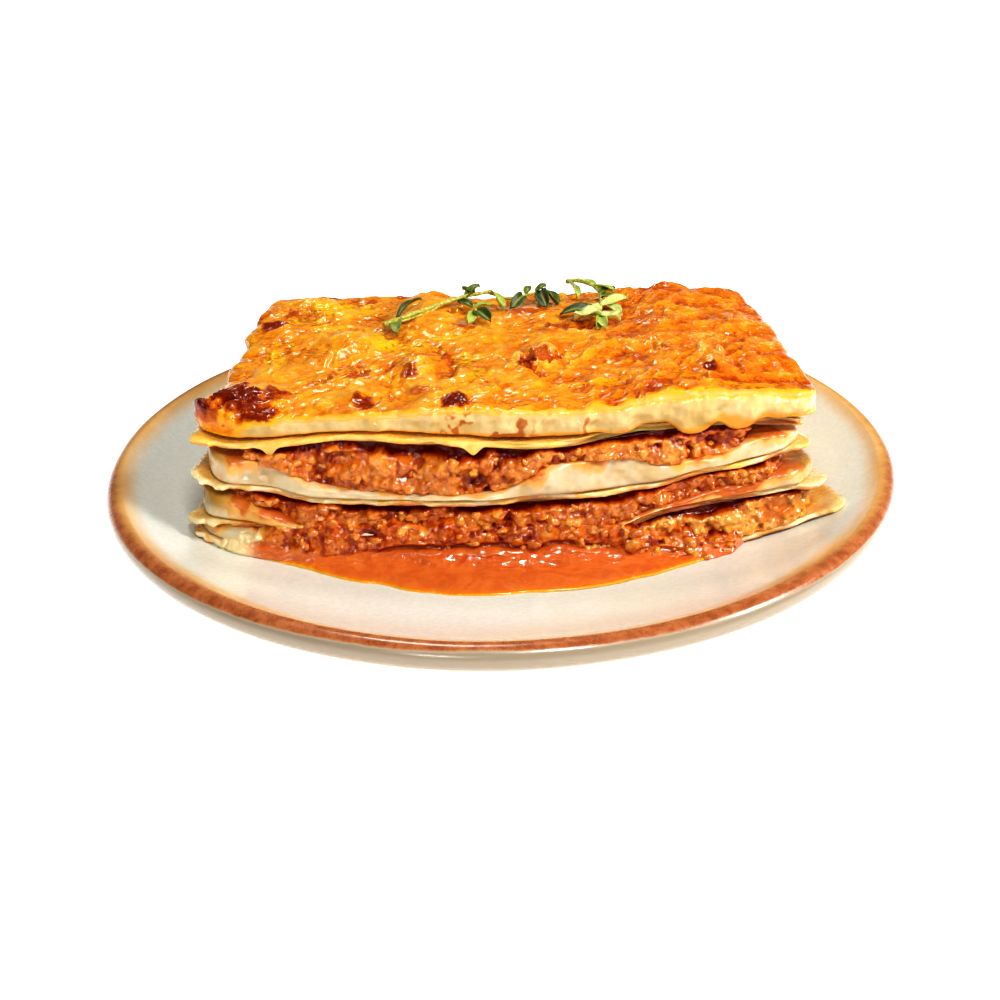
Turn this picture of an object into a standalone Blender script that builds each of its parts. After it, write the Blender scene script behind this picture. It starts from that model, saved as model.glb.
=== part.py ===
"""A slice of lasagne on its coupe plate, with a pool of sauce and two sprigs of thyme.

The slice is a stack that rests on the plate: four pasta sheets with white sauce and meat sauce
between them, and baked cheese on top. Sizes are in millimetres, and MM turns them into metres.
The front of the slice looks along -Y. The origin is the middle of the plate's foot.
"""

import math
import random

import bmesh
import bpy
import numpy as np
from mathutils import Matrix, Vector
from mathutils.bvhtree import BVHTree

MM = 0.001
GAP = 0.4
SEED = 11

# Plate: a coupe shape with a rolled rim and a foot ring
PLATE_RADIUS = 110.0
PLATE_WELL_RADIUS = 55.0
PLATE_WELL_TOP = 7.0
PLATE_RISE = 12.3
PLATE_RISE_WIDTH = 50.0
PLATE_RISE_POWER = 2.8
RIM_ROUND = 3.0
RIM_HEIGHT = 20.2
FOOT_RADIUS = 62.0
FOOT_WIDTH = 5.0
FOOT_RECESS = 2.6
PLATE_STEPS = 52

# Slice: its middle, half widths and depths at the foot and at the top
SLICE_X = 3.4
HALF_WIDTH_LOW = 82.0
HALF_WIDTH_HIGH = 75.5
FRONT_LOW, FRONT_LOW_BULGE = -47.5, 7.5
FRONT_HIGH, FRONT_HIGH_BULGE = -40.0, 9.0
BACK_LOW, BACK_HIGH = 48.5, 47.0
HEIGHT_LOW, HEIGHT_HIGH = 8.0, 42.0
PASTA = 1.7
LATTICE = 10.0
ROWS = 6

# Heights of the undersides of the pasta sheets and of the top edge, along the front
SHEET_2_FRONT = ((-82, 16.4), (-70, 16.6), (-52, 14.6), (-25, 12.8), (10, 12.4), (28, 13.8),
                 (40, 17.6), (60, 20.2), (86, 22.8))
SHEET_3_FRONT = ((-82, 31.0), (-72, 26.2), (-58, 24.9), (-45, 22.7), (-20, 22.1), (5, 22.5),
                 (35, 24.5), (50, 27.4), (66, 30.0), (84, 35.0))
SHEET_4_FRONT = ((-80, 39.6), (-68, 36.2), (-55, 36.8), (-38, 38.5), (-18, 37.7), (5, 36.1),
                 (18, 36.5), (38, 38.9), (55, 39.2), (82, 37.5))
TOP_BACK = ((-76, 45.0), (-66, 47.0), (-48, 47.6), (-28, 47.0), (-21, 48.0), (-12, 46.5), (5, 46.1),
            (13, 47.0), (22, 46.8), (40, 47.6), (51, 49.2), (60, 48.0), (78, 46.2))
TOP_FRONT = ((-78, 43.2), (-50, 43.6), (-20, 45.2), (5, 45.4), (30, 47.0), (50, 48.2),
             (65, 47.6), (82, 45.6))

# Share of each gap between two sheets that the white sauce fills, along the front
WHITE_2_SHARE = ((-80, 0.74), (-66, 0.70), (-57, 0.42), (-48, 0.17), (40, 0.17), (53, 0.36),
                 (66, 0.46), (86, 0.52))
WHITE_3_SHARE = ((-80, 0.78), (-66, 0.72), (-56, 0.52), (-45, 0.24), (-30, 0.14), (0, 0.16),
                 (12, 0.62), (31, 0.58), (39, 0.34), (55, 0.32), (66, 0.66), (84, 0.74))

# Where the meat sauce ends, short of the sheets' edges, and the lowest white sauce begins
MEAT_1_LEFT, MEAT_1_RIGHT = -49.0, 79.0
MEAT_2_LEFT, MEAT_2_RIGHT = -66.0, 70.0
MEAT_3_LEFT, MEAT_3_RIGHT = -62.0, 62.0
WHITE_1_LEFT, WHITE_1_RIGHT = -76.0, -54.0

# Blisters and crags of the crust: place, radius and height
BLISTERS = ((-62, -31, 11, 2.2), (-36, -35, 5, 1.4), (-15, -37, 6, 1.8), (11, -12, 7, 2.2),
            (56, -26, 5, 1.4), (-71, 30, 6, 1.6), (4, 24, 8, 1.4), (52, 30, 7, 1.6),
            (30, -6, 9, 1.3), (-44, 4, 9, 1.5), (-8, 8, 10, 1.2), (68, 8, 7, 1.5),
            (-22, -14, 9, 1.4), (44, 10, 8, 1.2), (74, -20, 5, 1.4), (29, 13, 14, -1.6))

# Drips of cheese down the front: place along the front, reach down and radius
DRIPS = ((47.5, 36.6, 3.2), (59.0, 37.0, 2.8), (29.0, 37.6, 2.6))

# Sauce pool: how far it reaches in front of the slice, and how thick it lies
POOL_FRONT = ((-60, -53.4), (-52, -55.6), (-44, -59.6), (-37, -62.4), (-26, -66.0), (-14, -69.6),
              (-4, -70.6), (4, -69.8), (18, -68.2), (34, -64.4), (47, -58.6), (56, -55.0))
POOL_LEFT, POOL_RIGHT = -60.0, 56.0
POOL_DEPTH = 1.6

# Crumbs of meat: spacing along the front and along the other sides, and their sizes
CRUMB_SPACING_FRONT, CRUMB_SPACING_REST = 7.2, 12.5
CRUMB_RADIUS_LOW, CRUMB_RADIUS_HIGH = 2.0, 3.2

# Thyme: each sprig has branches, as a radius and the points of a path, and leaves, as the foot,
# the tip and the width. A leaf's foot moves to the nearest branch.
LONG_BRANCHES = (
    (1.0, ((-32.7, 12.4, 48.2), (-20.0, 25.4, 49.0), (-10.1, 32.7, 50.0), (-1.2, 36.4, 50.5))),
    (0.6, ((-10.1, 32.7, 50.0), (-7.0, 27.6, 48.8), (-6.1, 23.0, 48.2))),
    (0.6, ((-2.2, 35.9, 50.4), (3.8, 32.7, 49.2), (10.7, 35.4, 49.6), (14.5, 37.0, 50.0))),
)
LONG_LEAVES = (
    ((-29.1, 17.5, 48.5), (-22.7, 31.7, 50.0), 2.2),
    ((-28.4, 15.9, 48.4), (-28.0, 5.0, 47.6), 3.2),
    ((-9.2, 32.6, 50.0), (-4.8, 37.3, 52.0), 2.6),
    ((-1.4, 34.8, 50.2), (2.1, 25.3, 48.0), 2.8),
    ((-7.3, 26.8, 48.6), (-11.7, 31.1, 48.9), 2.6),
    ((-6.1, 23.3, 48.2), (-1.6, 14.4, 47.6), 3.4),
    ((-6.4, 22.6, 48.0), (-8.3, 12.8, 47.4), 2.4),
    ((8.5, 34.3, 49.3), (4.2, 26.1, 47.8), 2.8),
    ((14.5, 36.5, 50.0), (19.0, 28.6, 48.0), 3.4),
    ((14.5, 36.6, 50.0), (15.6, 26.0, 47.8), 3.4),
)
TIP_BRANCHES = (
    (0.75, ((22.6, 42.4, 51.0), (26.6, 39.4, 52.0), (30.0, 35.7, 51.6), (31.8, 31.0, 50.6),
            (31.6, 22.8, 49.0), (30.0, 13.7, 48.0))),
)
TIP_LEAVES = (
    ((23.0, 42.2, 51.0), (25.1, 32.4, 48.6), 2.6),
    ((30.6, 35.1, 51.4), (36.3, 29.9, 50.5), 2.4),
    ((32.0, 29.0, 50.2), (36.8, 33.4, 50.8), 3.0),
    ((31.6, 21.5, 48.8), (40.1, 25.9, 49.6), 3.4),
    ((31.0, 19.9, 48.6), (36.5, 15.7, 48.0), 2.8),
    ((31.0, 20.5, 48.6), (18.9, 17.8, 47.8), 2.8),
    ((30.4, 15.7, 48.2), (22.8, 13.9, 48.0), 4.6),
    ((30.3, 14.3, 48.0), (36.2, 10.9, 47.8), 4.2),
    ((30.2, 14.0, 48.0), (30.5, 4.6, 47.2), 2.8),
)
LEAF_THICKNESS = 0.5

COLOURS = {
    "plate": (0.80, 0.76, 0.64, 0.22),
    "sauce": (0.62, 0.12, 0.02, 0.18),
    "pasta": (0.82, 0.60, 0.20, 0.38),
    "white_sauce": (0.84, 0.68, 0.40, 0.30),
    "meat_sauce": (0.48, 0.12, 0.02, 0.25),
    "cheese": (0.80, 0.33, 0.03, 0.28),
    "thyme": (0.22, 0.36, 0.06, 0.45),
}


def clear_scene():
    """Removes the startup objects."""
    for thing in list(bpy.data.objects):
        bpy.data.objects.remove(thing, do_unlink=True)


def material(name):
    """One Principled material of a colour and a roughness."""
    red, green, blue, roughness = COLOURS[name]
    made = bpy.data.materials.new(name)
    made.use_nodes = True
    shader = made.node_tree.nodes["Principled BSDF"]
    shader.inputs["Base Color"].default_value = (red, green, blue, 1)
    shader.inputs["Roughness"].default_value = roughness
    shader.inputs["Metallic"].default_value = 0
    made.diffuse_color = (red, green, blue, 1)
    return made


def curve_through(points, x):
    """Height at x on a smooth cubic curve through the points, level beyond its ends."""
    if x <= points[0][0]:
        return points[0][1]
    if x >= points[-1][0]:
        return points[-1][1]
    slopes = [(points[min(i + 1, len(points) - 1)][1] - points[max(i - 1, 0)][1])
              / (points[min(i + 1, len(points) - 1)][0] - points[max(i - 1, 0)][0])
              for i in range(len(points))]
    i = max(k for k in range(len(points) - 1) if points[k][0] <= x)
    (x0, z0), (x1, z1) = points[i], points[i + 1]
    span = x1 - x0
    t = (x - x0) / span
    return (z0 * (1 + 2 * t) * (1 - t) ** 2 + z1 * t * t * (3 - 2 * t)
            + slopes[i] * span * t * (1 - t) ** 2 - slopes[i + 1] * span * t * t * (1 - t))


def value_noise(x, y, seed):
    """Smooth noise from -1 to 1 over a square lattice of one unit."""
    def corner(i, j):
        return math.modf(abs(math.sin(i * 127.1 + j * 311.7 + seed * 74.7)) * 43758.5453)[0]

    i, j = math.floor(x), math.floor(y)
    u, v = x - i, y - j
    u, v = u * u * (3 - 2 * u), v * v * (3 - 2 * v)
    low = corner(i, j) * (1 - u) + corner(i + 1, j) * u
    high = corner(i, j + 1) * (1 - u) + corner(i + 1, j + 1) * u
    return 2 * (low * (1 - v) + high * v) - 1


def plate_top(radius):
    """Height of the plate's upper face at a radius: flat in the well, then a steepening rise."""
    rise = max(0.0, (radius - PLATE_WELL_RADIUS) / PLATE_RISE_WIDTH)
    return PLATE_WELL_TOP + PLATE_RISE * rise ** PLATE_RISE_POWER


def up_the_side(height):
    """0 at the slice's foot and 1 at its top."""
    return min(1.0, max(0.0, (height - HEIGHT_LOW) / (HEIGHT_HIGH - HEIGHT_LOW)))


def half_width(height):
    """Half the slice's width at a height."""
    t = up_the_side(height)
    return HALF_WIDTH_LOW + (HALF_WIDTH_HIGH - HALF_WIDTH_LOW) * t


def front_edge(x, height):
    """The cut face's place in plan: it bulges forward in the middle, and more so at the foot."""
    middle = max(0.0, 1 - ((x - SLICE_X) / HALF_WIDTH_LOW) ** 2)
    low = FRONT_LOW - FRONT_LOW_BULGE * middle
    high = FRONT_HIGH - FRONT_HIGH_BULGE * middle
    return low + (high - low) * up_the_side(height)


def back_edge(height):
    """The far cut face's place in plan."""
    return BACK_LOW + (BACK_HIGH - BACK_LOW) * up_the_side(height)


def from_front(y):
    """0 at the front of the slice and 1 at its back, eased at both ends."""
    t = min(1.0, max(0.0, (y - FRONT_LOW) / (BACK_LOW - FRONT_LOW)))
    return t * t * (3 - 2 * t)


def stack_height(front, x, y):
    """Height of a sheet's underside. The far side has the front's curve turned round, and the
    whole follows the plate, whose rise under the front edge is already in the front's curve."""
    near = curve_through(front, x) - plate_top(math.hypot(x, front_edge(x, HEIGHT_LOW)))
    far = curve_through(front, -x) - plate_top(math.hypot(x, front_edge(-x, HEIGHT_LOW)))
    t = from_front(y)
    return near * (1 - t) + far * t + plate_top(math.hypot(x, y))


def on_lattice(height, x, y):
    """A height that is straight between the lattice lines, so that neighbours' faces agree."""
    low = math.floor(x / LATTICE) * LATTICE
    t = (x - low) / LATTICE
    return height(low, y) * (1 - t) + height(low + LATTICE, y) * t


def sheet_bottom(number, x, y):
    """Underside of pasta sheet 1, 2, 3 or 4."""
    if number == 1:
        return on_lattice(lambda a, b: plate_top(math.hypot(a, b)), x, y) + GAP + 0.1
    front = {2: SHEET_2_FRONT, 3: SHEET_3_FRONT, 4: SHEET_4_FRONT}[number]
    return on_lattice(lambda a, b: stack_height(front, a, b), x, y)


def sheet_top(number, x, y):
    """Upper face of a pasta sheet."""
    return sheet_bottom(number, x, y) + PASTA


def white_share(curve, x, y):
    """Share of the gap above a sheet that the white sauce fills."""
    t = from_front(y)
    return on_lattice(
        lambda a, b: curve_through(curve, a) * (1 - t) + curve_through(curve, -a) * t, x, y)


def between(number, curve, x, y):
    """Height where the white sauce above a sheet meets the meat sauce."""
    low = sheet_top(number, x, y)
    return low + white_share(curve, x, y) * (sheet_bottom(number + 1, x, y) - low)


def crust_height(x, y):
    """Upper face of the cheese: from the front edge's curve to the far one's, with swells and
    blisters."""
    t = from_front(y)
    base = curve_through(TOP_FRONT, x) * (1 - t) + curve_through(TOP_BACK, x) * t
    swell = 0.9 * value_noise(x / 21, y / 17, 3) + 0.5 * value_noise(x / 8, y / 7, 5)
    lumps = sum(h * math.exp(-((x - a) ** 2 + (y - b) ** 2) / (0.5 * r * r))
                for a, b, r, h in BLISTERS)
    return base + swell + lumps


def block(columns, rows, levels):
    """A cube primitive cut into columns along X, rows along Y and levels up Z, from -1 to 1."""
    made = bmesh.new()
    bmesh.ops.create_cube(made, size=2)
    for axis, parts in enumerate((columns, rows, levels)):
        edges = [e for e in made.edges
                 if abs(e.verts[0].co[axis] - e.verts[1].co[axis]) > 1]
        if parts > 1:
            bmesh.ops.subdivide_edges(made, edges=edges, cuts=parts - 1, use_grid_fill=False)
    return made


def add_object(name, bm, collection, finish, smooth_angle=40):
    """Puts a bmesh in the scene, as millimetres turned into metres."""
    bmesh.ops.scale(bm, vec=(MM, MM, MM), verts=bm.verts)
    bmesh.ops.recalc_face_normals(bm, faces=bm.faces)
    mesh = bpy.data.meshes.new(name)
    bm.to_mesh(mesh)
    bm.free()
    mesh.shade_smooth()
    mesh.set_sharp_from_angle(angle=math.radians(smooth_angle))
    mesh.materials.append(finish)
    made = bpy.data.objects.new(name, mesh)
    collection.objects.link(made)
    return made


def column_places(left, right, step=LATTICE):
    """The ends of a layer and the lattice lines well inside them."""
    inside = np.arange(math.ceil((left + 2) / step) * step, right - 2 + 0.001, step)
    return [left, *inside.tolist(), right]


def layer(name, collection, finish, left, right, lower, upper, levels=1, bulge=0.0, inset=0.0,
          corner=0.06, step=LATTICE, rows=ROWS, uneven=0.7, seed=0, recess=None, reach=None):
    """A slab of the stack between two height functions, with rounded corners and uneven edges."""
    columns = column_places(left, right, step)
    bm = block(len(columns) - 1, rows, levels)
    middle = 0.5 * (left + right)
    half = 0.5 * (right - left)
    for vert in bm.verts:
        a, b, c = vert.co
        x = columns[round((a + 1) / 2 * (len(columns) - 1))]
        height = 0.5 * (lower(x, 0) + upper(x, 0))
        near = front_edge(x, height) + inset + (recess(x) if recess else 0)
        far = back_edge(height) - inset
        across = (x - middle) / half
        near += 40 * corner * max(0.0, abs(across) - 0.8) ** 2 / 0.04 * 0.5
        far -= 40 * corner * max(0.0, abs(across) - 0.8) ** 2 / 0.04 * 0.5
        near += uneven * value_noise(x / 6.0, 0.5, seed)
        far += uneven * value_noise(x / 6.0, 3.5, seed)
        out = bulge * (1 - c * c)
        y = near + (far - near) * (b + 1) / 2 + out * b
        if abs(a) > 0.999:
            side = 1 if a > 0 else -1
            x += side * (out + uneven * value_noise(y / 6.0, 7.5 + side, seed)
                         - 30 * corner * max(0.0, abs(b) - 0.75) ** 2 / 0.0625
                         + (reach(side, y) if reach else 0))
        z = lower(x, y) + (upper(x, y) - lower(x, y)) * (c + 1) / 2
        vert.co = (x, y, z)
    return add_object(name, bm, collection, finish)


def union_with(base, pieces, name):
    """Joins the pieces to the base with one Boolean on their collection, then drops them."""
    group = bpy.data.collections.new(name + "_pieces")
    bpy.context.scene.collection.children.link(group)
    for piece in pieces:
        for owner in list(piece.users_collection):
            owner.objects.unlink(piece)
        group.objects.link(piece)
    joiner = base.modifiers.new("join", "BOOLEAN")
    joiner.operation = "UNION"
    joiner.operand_type = "COLLECTION"
    joiner.collection = group
    joiner.solver = "EXACT"
    bpy.context.view_layer.update()
    seen = base.evaluated_get(bpy.context.evaluated_depsgraph_get())
    joined = bpy.data.meshes.new_from_object(seen)
    base.modifiers.clear()
    base.data = joined
    joined.shade_smooth()
    joined.set_sharp_from_angle(angle=math.radians(50))
    for piece in pieces:
        bpy.data.objects.remove(piece, do_unlink=True)
    bpy.data.collections.remove(group)
    return base


def crumb(name, place, radii, turn, finish):
    """One lump of mince: an icosahedron, stretched and turned."""
    bm = bmesh.new()
    bmesh.ops.create_icosphere(bm, subdivisions=1, radius=1)
    bmesh.ops.rotate(bm, verts=bm.verts, cent=(0, 0, 0), matrix=Matrix.Rotation(turn, 3, "Z"))
    bmesh.ops.scale(bm, vec=radii, verts=bm.verts)
    bmesh.ops.translate(bm, vec=place, verts=bm.verts)
    return add_object(name, bm, bpy.context.scene.collection, finish)


def crumbs_round(name, left, right, lower, upper, finish, seed, inset):
    """Crumbs set into the edge of a meat layer on its four sides, within its two faces."""
    rng = random.Random(SEED * 100 + seed)
    sides = []
    for way, spacing in ((-1, CRUMB_SPACING_FRONT), (1, CRUMB_SPACING_REST)):
        steps = int((right - left) / spacing)
        for i in range(steps):
            x = left + (right - left) * (i + 0.5) / steps
            height = 0.5 * (lower(x, 0) + upper(x, 0))
            edge = front_edge(x, height) if way < 0 else back_edge(height)
            sides.append((x, edge - way * inset, 0, way))
    steps = int((BACK_LOW - FRONT_LOW) / CRUMB_SPACING_REST)
    for i in range(1, steps):
        y = FRONT_LOW + (BACK_LOW - FRONT_LOW) * i / steps
        sides.append((left, y, -1, 0))
        sides.append((right, y, 1, 0))
    made = []
    for count, (x, y, out_x, out_y) in enumerate(sides):
        size = rng.uniform(CRUMB_RADIUS_LOW, CRUMB_RADIUS_HIGH)
        x += rng.uniform(-1.2, 1.2) * abs(out_y) - out_x * 0.45 * size
        y += rng.uniform(-1.2, 1.2) * abs(out_x) - out_y * 0.45 * size
        near = [(x + i * size, y + j * size) for i in (-1, 0, 1) for j in (-1, 0, 1)]
        low = max(lower(a, b) for a, b in near) + 0.1
        high = min(upper(a, b) for a, b in near) - 0.1
        tall = min(size, 0.5 * (high - low))
        if tall < 0.8:
            continue
        z = rng.uniform(low + tall, high - tall)
        made.append(crumb(f"{name}_{count}", (x, y, z), (size, size, tall),
                          rng.uniform(0, math.pi), finish))
    return made


def make_plate(collection, finish):
    """The plate: its profile from the middle out over the rim and back under, turned."""
    rim_x = PLATE_RADIUS - RIM_ROUND
    rim_z = RIM_HEIGHT - RIM_ROUND
    rise = [PLATE_WELL_RADIUS + PLATE_RISE_WIDTH * t for t in (0, 0.36, 0.6, 0.78, 0.92)]
    outline = [(0, PLATE_WELL_TOP)] + [(r, plate_top(r)) for r in rise]
    outline += [(rim_x + RIM_ROUND * math.cos(math.radians(angle)),
                 rim_z + RIM_ROUND * math.sin(math.radians(angle)))
                for angle in (125, 80, 35, -10, -60)]
    outline += [(FOOT_RADIUS + 1.5, 3.4), (FOOT_RADIUS, 0), (FOOT_RADIUS - FOOT_WIDTH, 0),
                (FOOT_RADIUS - FOOT_WIDTH - 1.0, FOOT_RECESS), (0, FOOT_RECESS)]
    mesh = bpy.data.meshes.new("plate")
    mesh.from_pydata([(x * MM, 0, z * MM) for x, z in outline],
                     [(i, i + 1) for i in range(len(outline) - 1)], [])
    plate = bpy.data.objects.new("plate", mesh)
    collection.objects.link(plate)
    turn = plate.modifiers.new("turn", "SCREW")
    turn.axis = "Z"
    turn.angle = 2 * math.pi
    turn.steps = turn.render_steps = PLATE_STEPS
    turn.use_merge_vertices = True
    turn.merge_threshold = 0.0001
    turn.use_smooth_shade = True
    mesh.materials.append(finish)
    return plate


def make_pool(collection, finish):
    """The pool of sauce that has run out in front of the slice, thin at its rounded edge."""
    columns, rows = 18, 4
    bm = block(columns, rows, 1)
    for vert in bm.verts:
        a, b, c = vert.co
        x = POOL_LEFT + (POOL_RIGHT - POOL_LEFT) * (a + 1) / 2
        near = curve_through(POOL_FRONT, x)
        far = front_edge(x, HEIGHT_LOW) - 1.6
        across = (b + 1) / 2
        y = near + (far - near) * across
        base = plate_top(math.hypot(x, y)) + GAP
        end = 1 - max(0.0, abs(a) - 0.8) / 0.2
        depth = POOL_DEPTH * math.sqrt(min(1.0, 0.1 + 2.2 * across)) * (0.35 + 0.65 * end)
        depth *= 1 + 0.2 * value_noise(x / 6, y / 6, 21)
        vert.co = (x, y, base + (depth if c > 0 else 0))
    return add_object("sauce_pool", bm, collection, finish)


def make_sheets(collection, finish):
    """The four pasta sheets: slabs of one thickness whose ends reach past the fillings."""
    reach = {1: (-80, 84.5), 2: (-80.5, 81), 3: (-77.5, 77.5), 4: (-76, 77)}
    for number, (left, right) in reach.items():
        layer(f"pasta_sheet_{number}", collection, finish, left, right,
              lambda x, y, n=number: sheet_bottom(n, x, y),
              lambda x, y, n=number: sheet_top(n, x, y),
              inset=-0.5, seed=30 + number, corner=0.03,
              recess=(lambda x: 3.6 * max(0.0, min(1.0, (x - 18) / 6))) if number == 4 else None)


def make_white_sauce(collection, finish):
    """The white sauce: the lowest lies at the left end, and the others on sheets 2 and 3."""
    layer("bechamel_1", collection, finish, WHITE_1_LEFT, WHITE_1_RIGHT,
          lambda x, y: sheet_top(1, x, y) + GAP, lambda x, y: sheet_bottom(2, x, y) - GAP,
          levels=2, bulge=0.9, inset=0.8, seed=41)
    for number, curve, left, right in ((2, WHITE_2_SHARE, -76.5, 78.5), (3, WHITE_3_SHARE, -73.5, 74)):
        layer(f"bechamel_{number}", collection, finish, left, right,
              lambda x, y, n=number: sheet_top(n, x, y) + GAP,
              lambda x, y, n=number, s=curve: between(n, s, x, y) - GAP / 2,
              levels=2, bulge=0.8, inset=0.8, seed=41 + number)


def make_meat_sauce(collection, finish):
    """The meat sauce: a slab for each gap, with crumbs of mince fused round its edge."""
    slabs = (
        (1, MEAT_1_LEFT, MEAT_1_RIGHT, lambda x, y: sheet_top(1, x, y) + GAP + 0.2),
        (2, MEAT_2_LEFT, MEAT_2_RIGHT, lambda x, y: between(2, WHITE_2_SHARE, x, y) + GAP / 2),
        (3, MEAT_3_LEFT, MEAT_3_RIGHT, lambda x, y: between(3, WHITE_3_SHARE, x, y) + GAP / 2),
    )
    for number, left, right, lower in slabs:
        def upper(x, y, n=number):
            return sheet_bottom(n + 1, x, y) - GAP

        name = f"meat_sauce_{number}"
        inset = 3.4 if number == 3 else 1.6
        slab = layer(name, collection, finish, left, right, lower, upper,
                     inset=inset, corner=0.02, uneven=0.4, seed=50 + number)
        pieces = crumbs_round(name, left, right, lower, upper, finish, number, inset)
        union_with(slab, pieces, name)


def crust_reach(side, y):
    """How far the crust's ends reach out: a burnt lip at the near left, a step at the right."""
    if side < 0:
        return 4.2 * math.exp(-((y + 37) / 7) ** 2) + 1.4 * math.exp(-((y - 17) / 5) ** 2)
    return 1.2 * math.exp(-((y - 20) / 16) ** 2)


def make_cheese(collection, finish):
    """The baked cheese: its crust in relief, a full side and drips down the front."""
    top = layer("cheese_top", collection, finish, -72.5, 79.0,
                lambda x, y: sheet_top(4, x, y) + GAP, crust_height,
                levels=2, bulge=1.0, inset=0.4, corner=0.04, step=LATTICE / 2, rows=9, uneven=0.5,
                seed=61, reach=crust_reach)
    drips = []
    for count, (x, low, radius) in enumerate(DRIPS):
        y = front_edge(x, low) - 0.15 * radius
        bm = bmesh.new()
        bmesh.ops.create_icosphere(bm, subdivisions=2, radius=radius)
        bmesh.ops.scale(bm, vec=(1.5, 0.8, 1.3), verts=bm.verts)
        bmesh.ops.translate(bm, vec=(x, y, low + 1.3 * radius), verts=bm.verts)
        drips.append(add_object(f"drip_{count}", bm, bpy.context.scene.collection, finish))
    return union_with(top, drips, "cheese_top")


def smooth_path(points, parts=2):
    """Points on a smooth curve through the given ones."""
    axes = [[(i, point[k]) for i, point in enumerate(points)] for k in range(3)]
    count = (len(points) - 1) * parts
    return [Vector([curve_through(axis, i / parts) for axis in axes]) for i in range(count + 1)]


def branch(name, radius, path, finish):
    """A branch of thyme: a poly curve with a round section that thins out, made a closed mesh."""
    curve = bpy.data.curves.new(name, "CURVE")
    curve.dimensions = "3D"
    curve.bevel_depth = radius
    curve.bevel_resolution = 0
    curve.use_fill_caps = True
    spline = curve.splines.new("POLY")
    spline.points.add(len(path) - 1)
    for i, (place, point) in enumerate(zip(path, spline.points)):
        point.co = (*place, 1)
        point.radius = 1 - 0.35 * i / (len(path) - 1)
    thing = bpy.data.objects.new(name, curve)
    bpy.context.scene.collection.objects.link(thing)
    bpy.context.view_layer.update()
    graph = bpy.context.evaluated_depsgraph_get()
    mesh = bpy.data.meshes.new_from_object(thing.evaluated_get(graph))
    bpy.data.objects.remove(thing, do_unlink=True)
    bm = bmesh.new()
    bm.from_mesh(mesh)
    bmesh.ops.remove_doubles(bm, verts=bm.verts, dist=0.01)
    return add_object(name, bm, bpy.context.scene.collection, finish)


def leaf(name, foot, tip, width, finish):
    """A thyme leaf: an oval grid from foot to tip that arches and cups, given a thickness."""
    along = tip - foot
    side = along.cross(Vector((0, 0, 1))).normalized()
    up = side.cross(along).normalized()
    bm = bmesh.new()
    bmesh.ops.create_grid(bm, x_segments=3, y_segments=2, size=1)
    for vert in bm.verts:
        t, across = (vert.co.x + 1) / 2, vert.co.y
        half = 0.5 * width * (0.2 + 0.8 * math.sin(math.pi * (0.1 + 0.82 * t)))
        raised = 0.09 * along.length * math.sin(math.pi * t) + 0.16 * width * across * across
        vert.co = foot + along * (t - 0.04) + side * half * across + up * raised
    bmesh.ops.triangulate(bm, faces=bm.faces)
    made = add_object(name, bm, bpy.context.scene.collection, finish)
    wall = made.modifiers.new("thickness", "SOLIDIFY")
    wall.thickness = LEAF_THICKNESS * MM
    wall.offset = 0
    bpy.context.view_layer.update()
    graph = bpy.context.evaluated_depsgraph_get()
    made.data = bpy.data.meshes.new_from_object(made.evaluated_get(graph))
    made.modifiers.clear()
    return made


def lower_on_to(thing, support, clearance=0.35):
    """Moves a mesh up or down so that its nearest point is just clear of the support."""
    graph = bpy.context.evaluated_depsgraph_get()
    tree = BVHTree.FromObject(support, graph)
    least = 1.0
    for vert in thing.data.vertices:
        hit = tree.ray_cast(Vector((vert.co.x, vert.co.y, 1.0)), Vector((0, 0, -1)))[0]
        if hit is not None:
            least = min(least, vert.co.z - hit.z)
    print(f"{thing.name} moves by {clearance - least / MM:.2f} mm")
    thing.data.transform(Matrix.Translation((0, 0, clearance * MM - least)))


def make_sprig(name, branches, leaves, collection, finish, support):
    """A sprig of thyme: leaves fused to their branches, lying on the crust."""
    paths = [smooth_path(points) for _, points in branches]
    stalks = [branch(f"{name}_branch_{i}", radius, path, finish)
              for i, ((radius, _), path) in enumerate(zip(branches, paths))]
    places = [place for points, path in zip(branches, paths) for place in path]
    blades = []
    for count, (foot, tip, width) in enumerate(leaves):
        nearest = min(places, key=lambda place, f=Vector(foot): (place - f).length)
        blades.append(leaf(f"{name}_leaf_{count}", nearest, Vector(tip), width, finish))
    sprig = union_with(stalks[0], stalks[1:] + blades, name)
    sprig.name = name
    for owner in list(sprig.users_collection):
        owner.objects.unlink(sprig)
    collection.objects.link(sprig)
    lower_on_to(sprig, support)
    return sprig


def main():
    clear_scene()
    collection = bpy.data.collections.new("lasagne_slice_on_plate")
    bpy.context.scene.collection.children.link(collection)
    finish = {name: material(name) for name in COLOURS}
    make_plate(collection, finish["plate"])
    make_pool(collection, finish["sauce"])
    make_sheets(collection, finish["pasta"])
    make_white_sauce(collection, finish["white_sauce"])
    make_meat_sauce(collection, finish["meat_sauce"])
    cheese = make_cheese(collection, finish["cheese"])
    make_sprig("thyme_sprig_long", LONG_BRANCHES, LONG_LEAVES, collection, finish["thyme"], cheese)
    make_sprig("thyme_sprig_tip", TIP_BRANCHES, TIP_LEAVES, collection, finish["thyme"], cheese)


main()
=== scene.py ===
"""The looks of a slice of lasagne on its coupe plate.

Every shape is a surface worked out with numpy from the same named sizes as the part's solids. Each
one stands for the solid of its layer, apart from the loose crumbs and the spill down the front, which
have none. Sizes are in millimetres until mesh_piece turns them into metres. The origin is the middle
of the plate's foot, and -Y points at the viewer.
"""

import math

import bmesh
import bpy
import numpy as np
from mathutils import Matrix, Vector


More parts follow.
